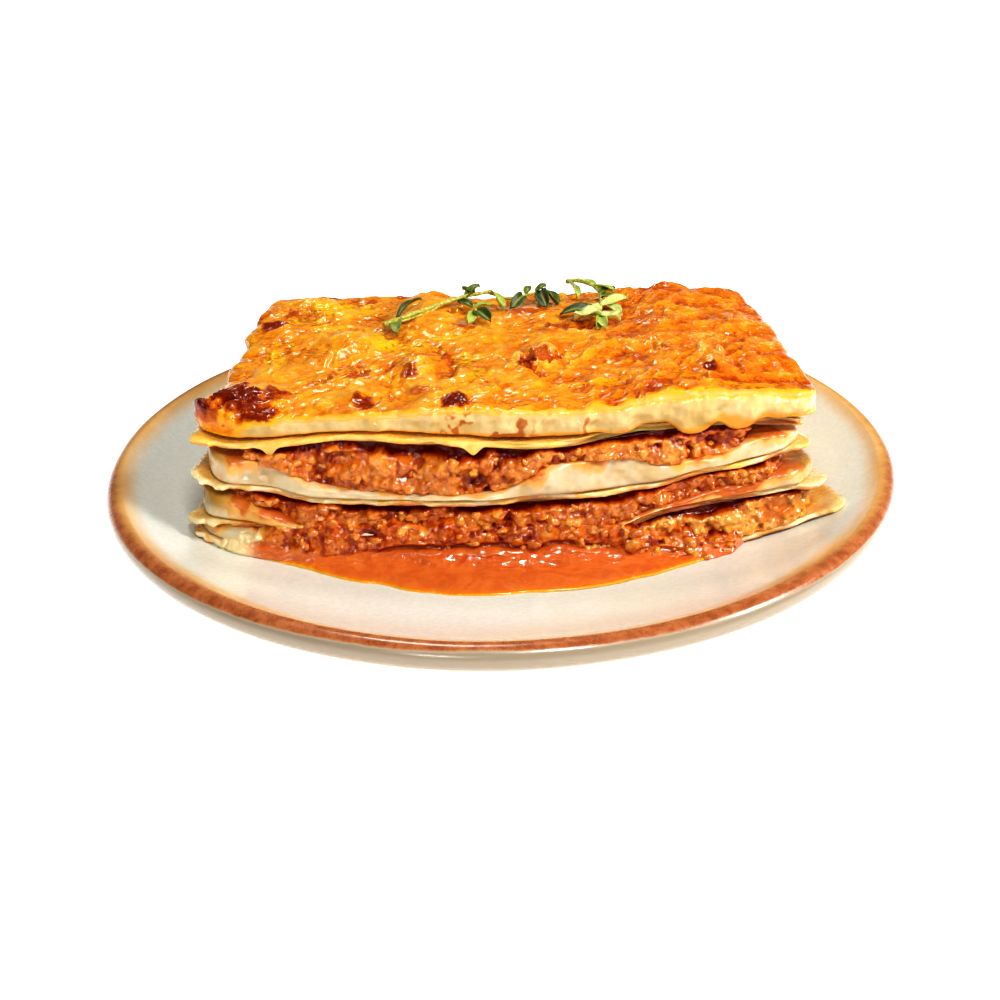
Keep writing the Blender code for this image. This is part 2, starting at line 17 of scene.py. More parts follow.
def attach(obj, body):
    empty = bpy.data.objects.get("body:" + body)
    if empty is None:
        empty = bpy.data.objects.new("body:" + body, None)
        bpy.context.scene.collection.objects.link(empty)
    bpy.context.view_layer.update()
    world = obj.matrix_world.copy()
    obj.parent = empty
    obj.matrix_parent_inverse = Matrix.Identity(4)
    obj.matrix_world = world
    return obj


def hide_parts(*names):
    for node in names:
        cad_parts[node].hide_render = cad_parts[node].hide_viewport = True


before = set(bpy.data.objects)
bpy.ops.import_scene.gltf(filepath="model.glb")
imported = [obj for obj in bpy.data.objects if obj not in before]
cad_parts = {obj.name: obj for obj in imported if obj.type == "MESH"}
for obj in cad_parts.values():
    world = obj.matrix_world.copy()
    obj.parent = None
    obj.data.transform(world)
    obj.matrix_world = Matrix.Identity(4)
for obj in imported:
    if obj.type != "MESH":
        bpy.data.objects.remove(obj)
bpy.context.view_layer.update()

MM = 0.001
GAP = 0.4

# Plate
PLATE_RADIUS = 110.0
PLATE_WELL_RADIUS, PLATE_WELL_TOP = 55.0, 7.0
PLATE_RISE, PLATE_RISE_WIDTH, PLATE_RISE_POWER = 12.3, 50.0, 2.8
RIM_ROUND, RIM_HEIGHT = 3.0, 20.2
FOOT_RADIUS, FOOT_WIDTH, FOOT_RECESS = 62.0, 5.0, 2.6

# Slice
SLICE_X = 3.4
HALF_WIDTH_LOW = 82.0
FRONT_LOW, FRONT_LOW_BULGE = -47.5, 7.5
FRONT_HIGH, FRONT_HIGH_BULGE = -40.0, 9.0
BACK_LOW, BACK_HIGH = 48.5, 47.0
HEIGHT_LOW, HEIGHT_HIGH = 8.0, 42.0
PASTA = 1.7

SHEET_FRONTS = {
    2: ((-82, 16.4), (-70, 16.6), (-52, 14.6), (-25, 12.8), (10, 12.4), (28, 13.8), (40, 17.6),
        (60, 20.2), (86, 22.8)),
    3: ((-82, 31.0), (-72, 26.2), (-58, 24.9), (-45, 22.7), (-20, 22.1), (5, 22.5), (35, 24.5),
        (50, 27.4), (66, 30.0), (84, 35.0)),
    4: ((-80, 39.6), (-68, 36.2), (-55, 36.8), (-38, 38.5), (-18, 37.7), (5, 36.1), (18, 36.5),
        (38, 38.9), (55, 39.2), (82, 37.5)),
}
TOP_FRONT = ((-78, 43.2), (-50, 43.6), (-20, 45.2), (5, 45.4), (30, 47.0), (50, 48.2), (65, 47.6),
             (82, 45.6))
TOP_BACK = ((-76, 45.0), (-66, 47.0), (-48, 47.6), (-28, 47.0), (-21, 48.0), (-12, 46.5), (5, 46.1),
            (13, 47.0), (22, 46.8), (40, 47.6), (51, 49.2), (60, 48.0), (78, 46.2))
# Share of white sauce in the filling above a sheet, along the front
WHITE_SHARES = {
    2: ((-80, 0.74), (-66, 0.70), (-57, 0.42), (-48, 0.17), (40, 0.17), (53, 0.36), (66, 0.46),
        (86, 0.52)),
    3: ((-80, 0.78), (-66, 0.72), (-56, 0.52), (-45, 0.24), (-30, 0.14), (0, 0.16), (12, 0.62),
        (31, 0.58), (39, 0.34), (55, 0.32), (66, 0.66), (84, 0.74)),
}
POOL_FRONT = ((-60, -53.4), (-52, -55.6), (-44, -59.6), (-37, -62.4), (-26, -66.0), (-14, -69.6),
              (-4, -70.6), (4, -69.8), (18, -68.2), (34, -64.4), (47, -58.6), (56, -55.0))
POOL_LEFT, POOL_RIGHT = -60.0, 56.0

# Swells of the crust that its solid has too: place, radius and height
SWELLS = ((-62, -31, 11, 2.2), (-36, -35, 5, 1.4), (-15, -37, 6, 1.8), (11, -12, 7, 2.2),
          (56, -26, 5, 1.4), (-71, 30, 6, 1.6), (4, 24, 8, 1.4), (52, 30, 7, 1.6), (30, -6, 9, 1.3),
          (-44, 4, 9, 1.5), (-8, 8, 10, 1.2), (68, 8, 7, 1.5), (-22, -14, 9, 1.4), (44, 10, 8, 1.2),
          (74, -20, 5, 1.4), (29, 13, 14, -1.6))

# Burnt and browned spots of the crust: place, half widths along X and Y, and how dark, up to 1
BURNT_SPOTS = ((-66, -36, 8, 8, 1.0), (-59, -42, 8, 4, 0.85), (-71, -44, 5, 5, 0.9),
               (-75.5, -38, 4, 7, 1.0), (-57, -33, 4, 4, 0.7), (-66.5, 19, 3.4, 5, 0.85),
               (-63, 30, 2.5, 4, 0.45), (-54, 46, 3, 6, 0.8), (-29, 45, 4, 5, 0.6),
               (-40, 40, 3, 4, 0.5), (-38, -19, 7, 5, 0.55), (-23, -22, 3.2, 4, 0.7),
               (-33, -39, 3.6, 3.6, 0.8), (-10.5, -41, 3.2, 6, 1.0), (-14.5, -8, 1.6, 5, 0.6),
               (7.8, -19, 2.2, 5, 0.75), (11, -15, 5, 4, 0.5), (-9, 13, 4, 3, 0.5),
               (12, 25, 7, 3, 0.5), (18, 11, 4, 3, 0.6), (25, 8, 3, 2, 0.5), (36, -19, 6, 5, 0.4),
               (40, -39, 2.6, 2.2, 0.45), (64, -8, 5, 4, 0.25), (45, -16, 3, 3, 0.35),
               (-77, 14, 2.5, 3, 0.6), (54.4, -29.7, 3, 2.4, 1.0), (-20, -33, 3, 2, 0.4),
               (-75, 2, 2.6, 9, 0.4), (-73.5, 24, 2.6, 6, 0.45), (2, -34, 3, 2, 0.3),
               (-48, -24, 3, 2, 0.35))
# Yellow, less baked places, the same way
YELLOW_SPOTS = ((-60, 23, 7, 4, 0.9), (-50, 17, 8, 4, 1.0), (-40, 11, 8, 4, 1.0),
                (-31, 3, 6, 5, 0.9), (-22, -1, 6, 4, 0.8), (-61, -4, 4, 12, 0.75),
                (-9, -13, 4, 7, 0.9), (-5, -23, 3, 5, 0.9), (-14, 5, 9, 3, 0.7), (12, 4, 6, 3, 0.6),
                (26, -35, 8, 3, 0.6), (62, -40, 18, 5, 0.55), (76, -34, 5, 8, 0.45),
                (-50, -4, 7, 4, 0.5), (-50, 35, 14, 8, 0.8), (-30, 31, 12, 6, 0.5), (10, -4, 5, 6, 0.4),
                (-25, -9, 3, 6, 0.5), (-40, -30, 9, 3, 0.4), (48, -34, 8, 3, 0.5))
# Crumpled skin, the same way
CRUMPLES = ((-38, -19, 9, 7, 1.0), (36, -19, 9, 7, 0.9), (11, -16, 9, 7, 1.0), (-14, -29, 9, 9, 0.8),
            (-66, -36, 11, 10, 1.0), (20, 9, 10, 7, 0.7), (60, -10, 16, 12, 0.8), (-9, 13, 8, 6, 0.7),
            (-24, -20, 7, 6, 0.8), (60, 25, 20, 16, 0.6), (-32, -38, 6, 5, 0.8), (-52, 38, 9, 7, 0.6),
            (-10, -41, 5, 7, 0.9), (52, -34, 14, 8, 0.6))
# Creases and folds of the crust: depth or height, half width, and the line they follow
CREASES = ((0.75, 1.0, ((16, -30), (18, -24), (20, -19), (26.7, -11), (33, -7), (40, -8), (47, -14))),
           (-0.9, 0.9, ((-18, -4), (-15, -7), (-12.5, -13), (-12, -20))),
           (-1.1, 1.0, ((8.5, -12), (7.2, -18), (9.5, -23), (11, -27))),
           (0.7, 0.8, ((9.5, -12), (10.5, -18), (13, -22))),
           (0.6, 0.9, ((-29, 4), (-34, 1), (-36, -6), (-44, -11))),
           (-0.8, 0.8, ((30, -18), (34, -14), (37, -19), (34, -24))),
           (0.5, 0.8, ((-64, 6), (-62, -8), (-60, -18))),
           (0.6, 0.9, ((-5, -36), (8, -32), (20, -35), (32, -33))),
           (-0.6, 0.9, ((52, -6), (60, -12), (64, -20), (60, -28))),
           (0.6, 0.8, ((44, -27), (54, -34), (66, -33), (76, -30))),
           (-0.7, 0.8, ((46, -36), (58, -37), (70, -36), (78, -33))))

# Drips of cheese down the front: place, reach down, half width and how far they stand out
DRIPS = ((47.5, 36.7, 5.2, 1.5), (59.0, 37.1, 4.6, 1.2), (29.0, 38.0, 4.4, 0.9),
         (71.5, 39.0, 4.5, 0.7))

# Thyme: branches as a radius and a path, and leaves as foot, tip, width, paleness and roll
LONG_BRANCHES = (
    (0.8, ((-32.7, 12.4, 48.2), (-20.0, 25.4, 49.0), (-10.1, 32.7, 50.0), (-1.2, 36.4, 50.5))),
    (0.55, ((-10.1, 32.7, 50.0), (-7.0, 27.6, 48.8), (-6.1, 23.0, 48.2))),
    (0.55, ((-2.2, 35.9, 50.4), (3.8, 32.7, 49.2), (10.7, 35.4, 49.6), (14.5, 37.0, 50.0))),
    (0.4, ((-30.8, 13.6, 48.4), (-26.6, 16.6, 48.2), (-18.8, 25.4, 48.5), (-13.4, 32.2, 50.2))),
)
LONG_LEAVES = (
    ((-29.1, 17.5, 48.5), (-22.7, 31.7, 50.0), 2.2, 0.05, 20),
    ((-28.4, 15.9, 48.4), (-28.0, 5.0, 47.6), 3.2, 0.45, -25),
    ((-9.2, 32.6, 50.0), (-4.8, 37.3, 52.0), 2.6, 0.2, 0),
    ((-6.8, 34.0, 50.2), (-10.4, 38.3, 51.2), 2.3, 0.15, 0),
    ((-1.4, 34.8, 50.2), (2.1, 25.3, 48.0), 2.8, 0.65, 30),
    ((-7.3, 26.8, 48.6), (-11.7, 31.1, 48.9), 2.6, 0.1, 10),
    ((-6.1, 23.3, 48.2), (-1.6, 14.4, 47.6), 3.4, 0.1, -15),
    ((-6.4, 22.6, 48.0), (-8.3, 12.8, 47.4), 2.4, 0.7, 20),
    ((-6.2, 25.2, 48.6), (-0.8, 27.2, 48.9), 2.2, 0.6, 0),
    ((8.5, 34.3, 49.3), (4.2, 26.1, 47.8), 2.8, 0.05, 35),
    ((12.6, 36.2, 49.9), (16.0, 38.2, 51.4), 2.2, 0.2, 0),
    ((9.4, 35.2, 49.6), (10.8, 38.4, 50.9), 2.0, 0.3, 0),
    ((14.5, 36.5, 50.0), (19.0, 28.6, 48.0), 3.4, 0.1, 25),
    ((14.5, 36.6, 50.0), (15.6, 26.0, 47.8), 3.4, 0.05, -30),
)
TIP_BRANCHES = (
    (0.7, ((22.6, 42.4, 51.0), (26.6, 39.4, 52.0), (30.0, 35.7, 51.6), (31.8, 31.0, 50.6),
           (31.6, 22.8, 49.0), (30.0, 13.7, 48.0))),
)
TIP_LEAVES = (
    ((23.0, 42.2, 51.0), (25.1, 32.4, 48.6), 2.6, 0.75, 40),
    ((26.6, 39.0, 51.8), (31.4, 34.0, 50.4), 2.8, 0.55, 0),
    ((30.6, 35.1, 51.4), (36.3, 29.9, 50.5), 2.4, 0.7, 10),
    ((32.0, 29.0, 50.2), (36.8, 33.4, 50.8), 3.0, 0.15, 0),
    ((31.8, 27.0, 49.8), (35.6, 28.4, 50.0), 2.6, 0.3, 0),
    ((31.6, 21.5, 48.8), (40.1, 25.9, 49.6), 3.4, 0.9, -10),
    ((33.4, 21.8, 48.8), (36.6, 15.6, 48.0), 2.8, 0.8, 0),
    ((31.0, 20.5, 48.6), (18.9, 17.8, 47.8), 2.8, 0.0, 20),
    ((30.6, 18.6, 48.6), (27.2, 20.6, 49.6), 2.8, 0.95, 0),
    ((30.4, 15.7, 48.2), (22.8, 13.9, 48.0), 4.8, 1.0, 0),
    ((30.3, 14.3, 48.0), (36.2, 11.4, 47.8), 4.4, 0.95, 0),
    ((30.3, 14.0, 48.0), (31.4, 4.8, 47.2), 2.6, 0.8, -20),
    ((29.9, 14.0, 48.0), (28.8, 5.2, 47.1), 2.0, 0.6, 25),
)

# Where the layers end, at the left and at the right, and the depth that their corners suit
SHEET_ENDS = {1: (-78.0, 86.5), 2: (-78.5, 81.5), 3: (-77.0, 76.5), 4: (-75.5, 77.0)}
WHITE_ENDS = {1: (-76.0, -54.0), 2: (-76.5, 78.5), 3: (-73.5, 74.0)}
MEAT_ENDS = {1: (-49.0, 79.0), 2: (-66.0, 70.0), 3: (-62.0, 62.0)}
CRUST_LEFT, CRUST_RIGHT = -72.5, 79.0
LAYER_DEPTH = 96.0

SPILL_LEFT, SPILL_RIGHT = -78.0, 64.0
# How high the mince and sauce that ran down the front reach, and how far they run out at the foot
SPILL_TOP = ((-78, 11.6), (-70, 12.4), (-64, 15.2), (-58, 18.8), (-52, 19.6), (-45, 19.6), (-30, 18.0),
             (-10, 18.6), (10, 18.0), (22, 18.8), (30, 17.4), (38, 14.6), (46, 13.6), (56, 12.2),
             (64, 11.0))
SPILL_OUT = ((-78, 1.2), (-66, 2.2), (-55, 2.8), (-44, 3.0), (-34, 2.6), (22, 2.6), (32, 4.0),
             (44, 4.6), (56, 3.4), (64, 1.5))
SPILL_SOUP = ((-78, 13.6), (-60, 12.4), (-50, 10.4), (-40, 10.2), (-30, 11.0), (-20, 12.2), (0, 12.2),
              (20, 12.4), (27, 11.6), (34, 10.4), (46, 10.1), (57, 9.9), (64, 9.6))

# How finely the pieces are divided: points along a row, and rows
SHEET_GRID, WHITE_GRID, MEAT_GRID = (1300, 11), (1000, 26), (1300, 40)
SPILL_GRID, CRUST_GRID, POOL_GRID, LEAF_GRID = (660, 66), (346, 206), (420, 90), (9, 16)
PLATE_TURNS, CRUST_SIDE_ROWS, STALK_SIDES, STALK_PARTS = 320, 24, 10, 14
TOP_RINGS = (0.0, 0.4, 0.75, 0.9, 0.96, 0.985)

# How many crumbs lie on a layer of mince, on the spill and on its heap, and blisters on the crust
LAYER_CRUMBS, SPILL_CRUMBS, HEAP_CRUMBS, BLISTERS = 150, 46, 14, 150
# The mince's large, middle and small crumbs, across
MINCE_SIZES = (6.6, 3.2, 1.6)
# How far noise pushes a loose crumb's surface in and out, and how flat such a crumb is
CRUMB_ROUGH, CRUMB_FLAT = 0.4, 0.85
# How much wider a thyme leaf is than its listed width
LEAF_WIDER = 1.28

# Camera: degrees down and turned, metres away, the place it aims at, and millimetres of lens
CAMERA_DOWN, CAMERA_TURN, CAMERA_AWAY = 27.9, -1.5, 0.251
CAMERA_AIM = (-0.0003, -0.0453, 0.020)
CAMERA_SENSOR, CAMERA_LENS = 36.0, 35.64
# Softboxes: name, place, aim, size in metres, watts and colour
WHITE = (1, 1, 1)
LIGHTS = (("key_right", (0.56, -0.14, 0.50), (0, 0, 0.03), 0.18, 2.9, (1.0, 0.985, 0.95)),
          ("top_back", (-0.10, 0.40, 0.66), (0, 0, 0.04), 0.16, 1.3, WHITE),
          ("fill_front", (-0.25, -0.80, 0.50), (0, 0, 0.02), 0.12, 0.8, WHITE),
          ("glint_front", (0.14, -0.42, 0.66), (0, 0, 0.03), 0.13, 2.1, WHITE))
# The sky's grey by height, from the horizon up, and the floor's half width and own glow
SKY = ((0.0, 0.9), (0.24, 0.05))
FLOOR_REACH, FLOOR_GLOW = 50000.0, 0.7


def tint(red, green, blue):
    """A colour given as a screen shows it, 0 to 255, as the light values that a shader takes."""
    shares = [c / 255 for c in (red, green, blue)]
    return tuple(c / 12.92 if c < 0.04045 else ((c + 0.055) / 1.055) ** 2.4 for c in shares) + (1,)


# Numbers worked out as arrays: curves, noise and masks

def spread(x, y=0, z=0):
    """Points from their coordinates. One that is left out is 0."""
    return np.stack(np.broadcast_arrays(x, y, z), -1)


def curve_through(points, x):
    """Height at x on a smooth cubic curve through the points, level beyond its ends."""
    px, pz = np.array(points, float).T
    index = np.arange(len(px))
    after, before = np.minimum(index + 1, len(px) - 1), np.maximum(index - 1, 0)
    slope = (pz[after] - pz[before]) / (px[after] - px[before])
    x = np.clip(x, px[0], px[-1])
    i = np.clip(np.searchsorted(px, x, side="right") - 1, 0, len(px) - 2)
    span = px[i + 1] - px[i]
    t = (x - px[i]) / span
    return (pz[i] * (1 + 2 * t) * (1 - t) ** 2 + pz[i + 1] * t * t * (3 - 2 * t)
            + slope[i] * span * t * (1 - t) ** 2 - slope[i + 1] * span * t * t * (1 - t))


def soft_step(value, low, high):
    """0 below low, 1 above high, and an S curve between."""
    t = np.clip((value - low) / (high - low), 0, 1)
    return t * t * (3 - 2 * t)


def soft_fall(value, low, high):
    """1 below low, 0 above high, and an S curve between."""
    return soft_step(-value, -high, -low)


def lattice_noise(x, y, seed):
    """The solids' own noise, from -1 to 1 over a square lattice of one unit."""
    def corner(i, j):
        return np.modf(np.abs(np.sin(i * 127.1 + j * 311.7 + seed * 74.7)) * 43758.5453)[0]

    i, j = np.floor(x), np.floor(y)
    u, v = x - i, y - j
    u, v = u * u * (3 - 2 * u), v * v * (3 - 2 * v)
    low = corner(i, j) * (1 - u) + corner(i + 1, j) * u
    high = corner(i, j + 1) * (1 - u) + corner(i + 1, j + 1) * u
    return 2 * (low * (1 - v) + high * v) - 1


def scrambled(cell, seed):
    """A number from 0 to 1 for each cell of a lattice in space, always the same for a seed."""
    i, j, k = np.moveaxis(cell, -1, 0)
    code = (i * 374761393 + j * 668265263 + k * 1274126177 + seed * 97463473) & 0xFFFFFFFF
    code = ((code ^ (code >> 13)) * 1274126177) & 0xFFFFFFFF
    return ((code ^ (code >> 16)) & 0xFFFFFF) / 0xFFFFFF


def solid_noise(points, size, seed, octaves=3):
    """Noise from about -1 to 1 in space: the sum of ever finer random lattices, each smoothed
    between its corners and half as strong as the one before."""
    total = np.zeros(points.shape[:-1])
    weight, reach = 1.0, 0.0
    for octave in range(octaves):
        place = points * (2 ** octave / size) + 17.3 * (octave + 1)
        cell = np.floor(place).astype(np.int64)
        part = place - cell
        part = part * part * part * (part * (part * 6 - 15) + 10)
        value = 0.0
        for step in np.ndindex(2, 2, 2):
            share = np.prod(np.where(np.array(step) == 1, part, 1 - part), axis=-1)
            value = value + share * (2 * scrambled(cell + np.array(step), seed + octave) - 1)
        total += weight * value
        reach += weight * 0.55
        weight *= 0.5
    return total / reach


def ridges(points, size, seed):
    """Rounded ridges from about -1 to 1 where noise crosses zero."""
    return 1.1 - 2 * np.sqrt(solid_noise(points, size, seed, 2) ** 2 + 0.01)


def cells(points, size, seed):
    """Points scattered through space about size apart: the distances to the nearest and to the next
    one, counted in sizes, and a number from 0 to 1 of the nearest one's own."""
    place = points / size + 31.7
    cell = np.floor(place).astype(np.int64)
    part = place - cell
    first = np.full(points.shape[:-1], 9.0)
    second, own = first.copy(), np.zeros_like(first)
    for step in np.ndindex(3, 3, 3):
        step = np.array(step) - 1
        spot = cell + step
        away = np.sqrt(sum((step[k] + scrambled(spot, seed + k) - part[..., k]) ** 2 for k in range(3)))
        nearer = away < first
        second = np.where(nearer, first, np.minimum(second, away))
        own = np.where(nearer, scrambled(spot, seed + 3), own)
        first = np.where(nearer, away, first)
    return first, second, own


def mince_relief(points, seed, wet):
    """Mince packed together, in millimetres: half balls of the three MINCE_SIZES on top of one
    another, in and out by noise, and flatter where the sauce covers them. With the height go each
    crumb's tone and how deep a point lies, which sets the mince's painted shade."""
    bent = points + 1.0 * np.stack([solid_noise(points, 2.6, seed + k, 2) for k in range(3)], -1)
    balls = [cells(bent, size, seed + 10 * k) for k, size in enumerate(MINCE_SIZES)]
    large, middle, small = (np.sqrt(np.clip(1 - (ball[0] / 0.84) ** 2, 0, 1)) for ball in balls)
    dry = 1 - 0.65 * wet
    rough = solid_noise(points, 1.2, seed + 30, 2)
    rise = 2.2 * large * (1 - 0.3 * wet) + (1.6 * middle + 0.45 * small + 0.16 * rough) * dry
    depth = 1.12 - (0.45 * large + 0.55 * middle * (0.5 + 0.5 * dry) + 0.12 * small)
    return rise, np.clip(0.7 * balls[1][2] + 0.3 * balls[2][2], 0, 1), np.clip(depth + 0.2 * rough, 0, 1)


def spots(x, y, places, seed):
    """The strongest of many soft, ragged oval spots at each point."""
    ragged = 0.45 * solid_noise(spread(x, y), 4.0, seed, 3)
    found = np.zeros_like(x)
    for a, b, wide, deep, strength in places:
        away = np.hypot((x - a) / wide, (y - b) / deep) + ragged
        found = np.maximum(found, strength * soft_fall(away, 0.55, 1.25))
    return found


def line_distance(x, y, line):
    """Distance from each point to a run of straight pieces."""
    nearest = np.full(x.shape, 1e9)
    for (ax, ay), (bx, by) in zip(line[:-1], line[1:]):
        length = (bx - ax) ** 2 + (by - ay) ** 2
        t = np.clip(((x - ax) * (bx - ax) + (y - ay) * (by - ay)) / length, 0, 1)
        nearest = np.minimum(nearest, np.hypot(x - ax - t * (bx - ax), y - ay - t * (by - ay)))
    return nearest


# The slice's own heights and edges

def plate_top(radius):
    """Height of the plate's upper face at a radius: flat in the well, then a steepening rise."""
    rise = np.maximum(0, (radius - PLATE_WELL_RADIUS) / PLATE_RISE_WIDTH)
    return PLATE_WELL_TOP + PLATE_RISE * rise ** PLATE_RISE_POWER


def up_the_side(height):
    """0 at the slice's foot and 1 at its top."""
    return np.clip((height - HEIGHT_LOW) / (HEIGHT_HIGH - HEIGHT_LOW), 0, 1)


def front_edge(x, height):
    """The near cut face in plan: a parabola across, leaning back with height."""
    middle = np.maximum(0, 1 - ((x - SLICE_X) / HALF_WIDTH_LOW) ** 2)
    low = FRONT_LOW - FRONT_LOW_BULGE * middle
    high = FRONT_HIGH - FRONT_HIGH_BULGE * middle
    return low + (high - low) * up_the_side(height)


def back_edge(height):
    """The far cut face in plan."""
    return BACK_LOW + (BACK_HIGH - BACK_LOW) * up_the_side(height)


def from_front(y):
    """0 at the front of the slice and 1 at its back, eased at both ends."""
    return soft_step(y, FRONT_LOW, BACK_LOW)


def near_front(y):
    """1 by the near cut face and 0 from 30 mm before the plate's middle on, eased between."""
    return soft_step(-y, 30, 42)


def sheet_bottom(number, x, y):
    """Underside of a pasta sheet: the front's curve near, the same turned round far, over the
    plate's own rise."""
    if number == 1:
        return plate_top(np.hypot(x, y)) + GAP + 0.1
    front = SHEET_FRONTS[number]
    near = curve_through(front, x) - plate_top(np.hypot(x, front_edge(x, HEIGHT_LOW)))
    far = curve_through(front, -x) - plate_top(np.hypot(x, front_edge(-x, HEIGHT_LOW)))
    t = from_front(y)
    return near * (1 - t) + far * t + plate_top(np.hypot(x, y))


def sheet_top(number, x, y):
    """Upper face of a pasta sheet."""
    return sheet_bottom(number, x, y) + PASTA


def between(number, x, y):
    """Height where the white sauce above a sheet meets the meat sauce."""
    t, share = from_front(y), WHITE_SHARES[number]
    part = curve_through(share, x) * (1 - t) + curve_through(share, -x) * t
    low = sheet_top(number, x, y)
    return low + part * (sheet_bottom(number + 1, x, y) - low)


def crust_height(x, y):
    """Upper face of the cheese before its fine relief, as its solid has it."""
    t = from_front(y)
    base = curve_through(TOP_FRONT, x) * (1 - t) + curve_through(TOP_BACK, x) * t
    swell = 0.9 * lattice_noise(x / 21, y / 17, 3) + 0.5 * lattice_noise(x / 8, y / 7, 5)
    for a, b, r, h in SWELLS:
        swell = swell + h * np.exp(-((x - a) ** 2 + (y - b) ** 2) / (0.5 * r * r))
    return base + swell


def crust_reach(side, y):
    """How far the crust's ends reach out: a burnt lip at the near left, a step at the right."""
    left = 4.2 * np.exp(-((y + 37) / 7) ** 2) + 1.6 * np.exp(-((y - 15) / 4) ** 2)
    right = 1.2 * np.exp(-((y - 20) / 16) ** 2)
    return np.where(side < 0, left, right)


# Meshes

def mesh_piece(name, points, quads, triangles, finish, node, fields=None, rides=True):
    """A piece from points in millimetres. Its faces are turned where the volume that they enclose
    comes out negative, so they point outwards."""
    points = np.asarray(points, float).reshape(-1, 3)
    quads = np.asarray(quads, np.int64).reshape(-1, 4)
    triangles = np.asarray(triangles, np.int64).reshape(-1, 3)
    halves = np.concatenate([quads[:, [0, 1, 2]], quads[:, [0, 2, 3]], triangles])
    a, b, c = (points[halves[:, k]] for k in range(3))
    if np.einsum("ij,ij->i", a, np.cross(b, c)).sum() < 0:
        quads, triangles = quads[:, ::-1], triangles[:, ::-1]
    mesh = bpy.data.meshes.new(name)
    mesh.vertices.add(len(points))
    mesh.vertices.foreach_set("co", (points * MM).ravel())
    corners = np.concatenate([quads.ravel(), triangles.ravel()])
    sizes = np.concatenate([np.full(len(quads), 4), np.full(len(triangles), 3)])
    mesh.loops.add(len(corners))
    mesh.loops.foreach_set("vertex_index", corners.astype(np.int32))
    mesh.polygons.add(len(sizes))
    mesh.polygons.foreach_set("loop_start", (np.cumsum(sizes) - sizes).astype(np.int32))
    mesh.update(calc_edges=True)
    mesh.validate()
    mesh.shade_smooth()
    for field, values in (fields or {}).items():
        kept = mesh.attributes.new(field, "FLOAT", "POINT")
        kept.data.foreach_set("value", np.asarray(values, np.float32).ravel())
    mesh.materials.append(finish)
    piece = bpy.data.objects.new(name, mesh)
    bpy.context.scene.collection.objects.link(piece)
    if rides:
        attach(piece, "root")
        if node:
            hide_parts(node)
    return piece


def grid_quads(rows, columns, closed=False):
    """Quads of a grid of points counted row by row, joined round its columns if closed."""
    index = np.arange(rows * columns).reshape(rows, columns)
    if closed:
        index = np.concatenate([index, index[:, :1]], axis=1)
    return np.stack([index[:-1, :-1], index[:-1, 1:], index[1:, 1:], index[1:, :-1]], -1).reshape(-1, 4)


def grid_edge(rows, columns):
    """The points round the edge of such a grid, in one turn."""
    index = np.arange(rows * columns).reshape(rows, columns)
    return np.concatenate([index[0, :-1], index[:-1, -1], index[-1, :0:-1], index[:0:-1, 0]])


def slab(upper, lower):
    """Points and quads of a thin piece: an upper and a lower grid of points, and a wall between
    their edges."""
    rows, columns = upper.shape[:2]
    size = rows * columns
    faces, around = grid_quads(rows, columns), grid_edge(rows, columns)
    after = np.roll(around, -1)
    wall = np.stack([around + size, after + size, after, around], -1)
    points = np.concatenate([upper.reshape(-1, 3), lower.reshape(-1, 3)])
    return points, np.concatenate([faces, faces[:, ::-1] + size, wall])


def slab_field(values):
    """A value for each point of slab: the same on both grids."""
    return np.tile(np.ravel(values), 2)


def capped(points):
    """Faces for rows of points round an axis, whose first and last rows each shrink to a pole."""
    rows, columns = points.shape[:2]
    body = points[1:-1].reshape(-1, 3)
    first, last = points[0].mean(axis=0), points[-1].mean(axis=0)
    quads = grid_quads(rows - 2, columns, closed=True)
    ring = np.arange(columns)
    after = np.roll(ring, -1)
    start = (rows - 3) * columns
    top = np.stack([np.full(columns, len(body)), after, ring], -1)
    low = np.stack([np.full(columns, len(body) + 1), start + ring, start + after], -1)
    return np.concatenate([body, first[None], last[None]]), quads, np.concatenate([top, low])


def capped_field(values):
    """A value for each point of capped, in its order."""
    return np.concatenate([values[1:-1].ravel(), [values[0].mean(), values[-1].mean()]])


def capped_piece(name, points, finish, node, slot, **fields):
    """A piece from rows of points round an axis, with the fields that its material reads."""
    body, quads, triangles = capped(points)
    kept = {field: capped_field(values) for field, values in fields.items()}
    mesh_piece(name, body, quads, triangles, finish, node, kept)


def outline(count, width, depth, radius):
    """Even steps round a rectangle with round corners: the place as shares of its half sides, and
    the outward direction."""
    angle, across, along = [], [], []
    for start, x, y in ((180, -1, -1), (270, 1, -1), (360, 1, 1), (450, -1, 1), (540, -1, -1)):
        turn = np.radians(start + np.linspace(0, 90, 40) * (start < 540))
        angle.append(turn)
        across.append(x * (width / 2 - radius) + radius * np.cos(turn))
        along.append(y * (depth / 2 - radius) + radius * np.sin(turn))
    angle, across, along = (np.concatenate(part) for part in (angle, across, along))
    gone = np.concatenate([[0], np.cumsum(np.hypot(np.diff(across), np.diff(along)))])
    steps = np.linspace(0, gone[-1], count, endpoint=False)
    turn = np.interp(steps, gone, angle)
    place = np.interp(steps, gone, across) * 2 / width, np.interp(steps, gone, along) * 2 / depth
    return place, (np.cos(turn), np.sin(turn))


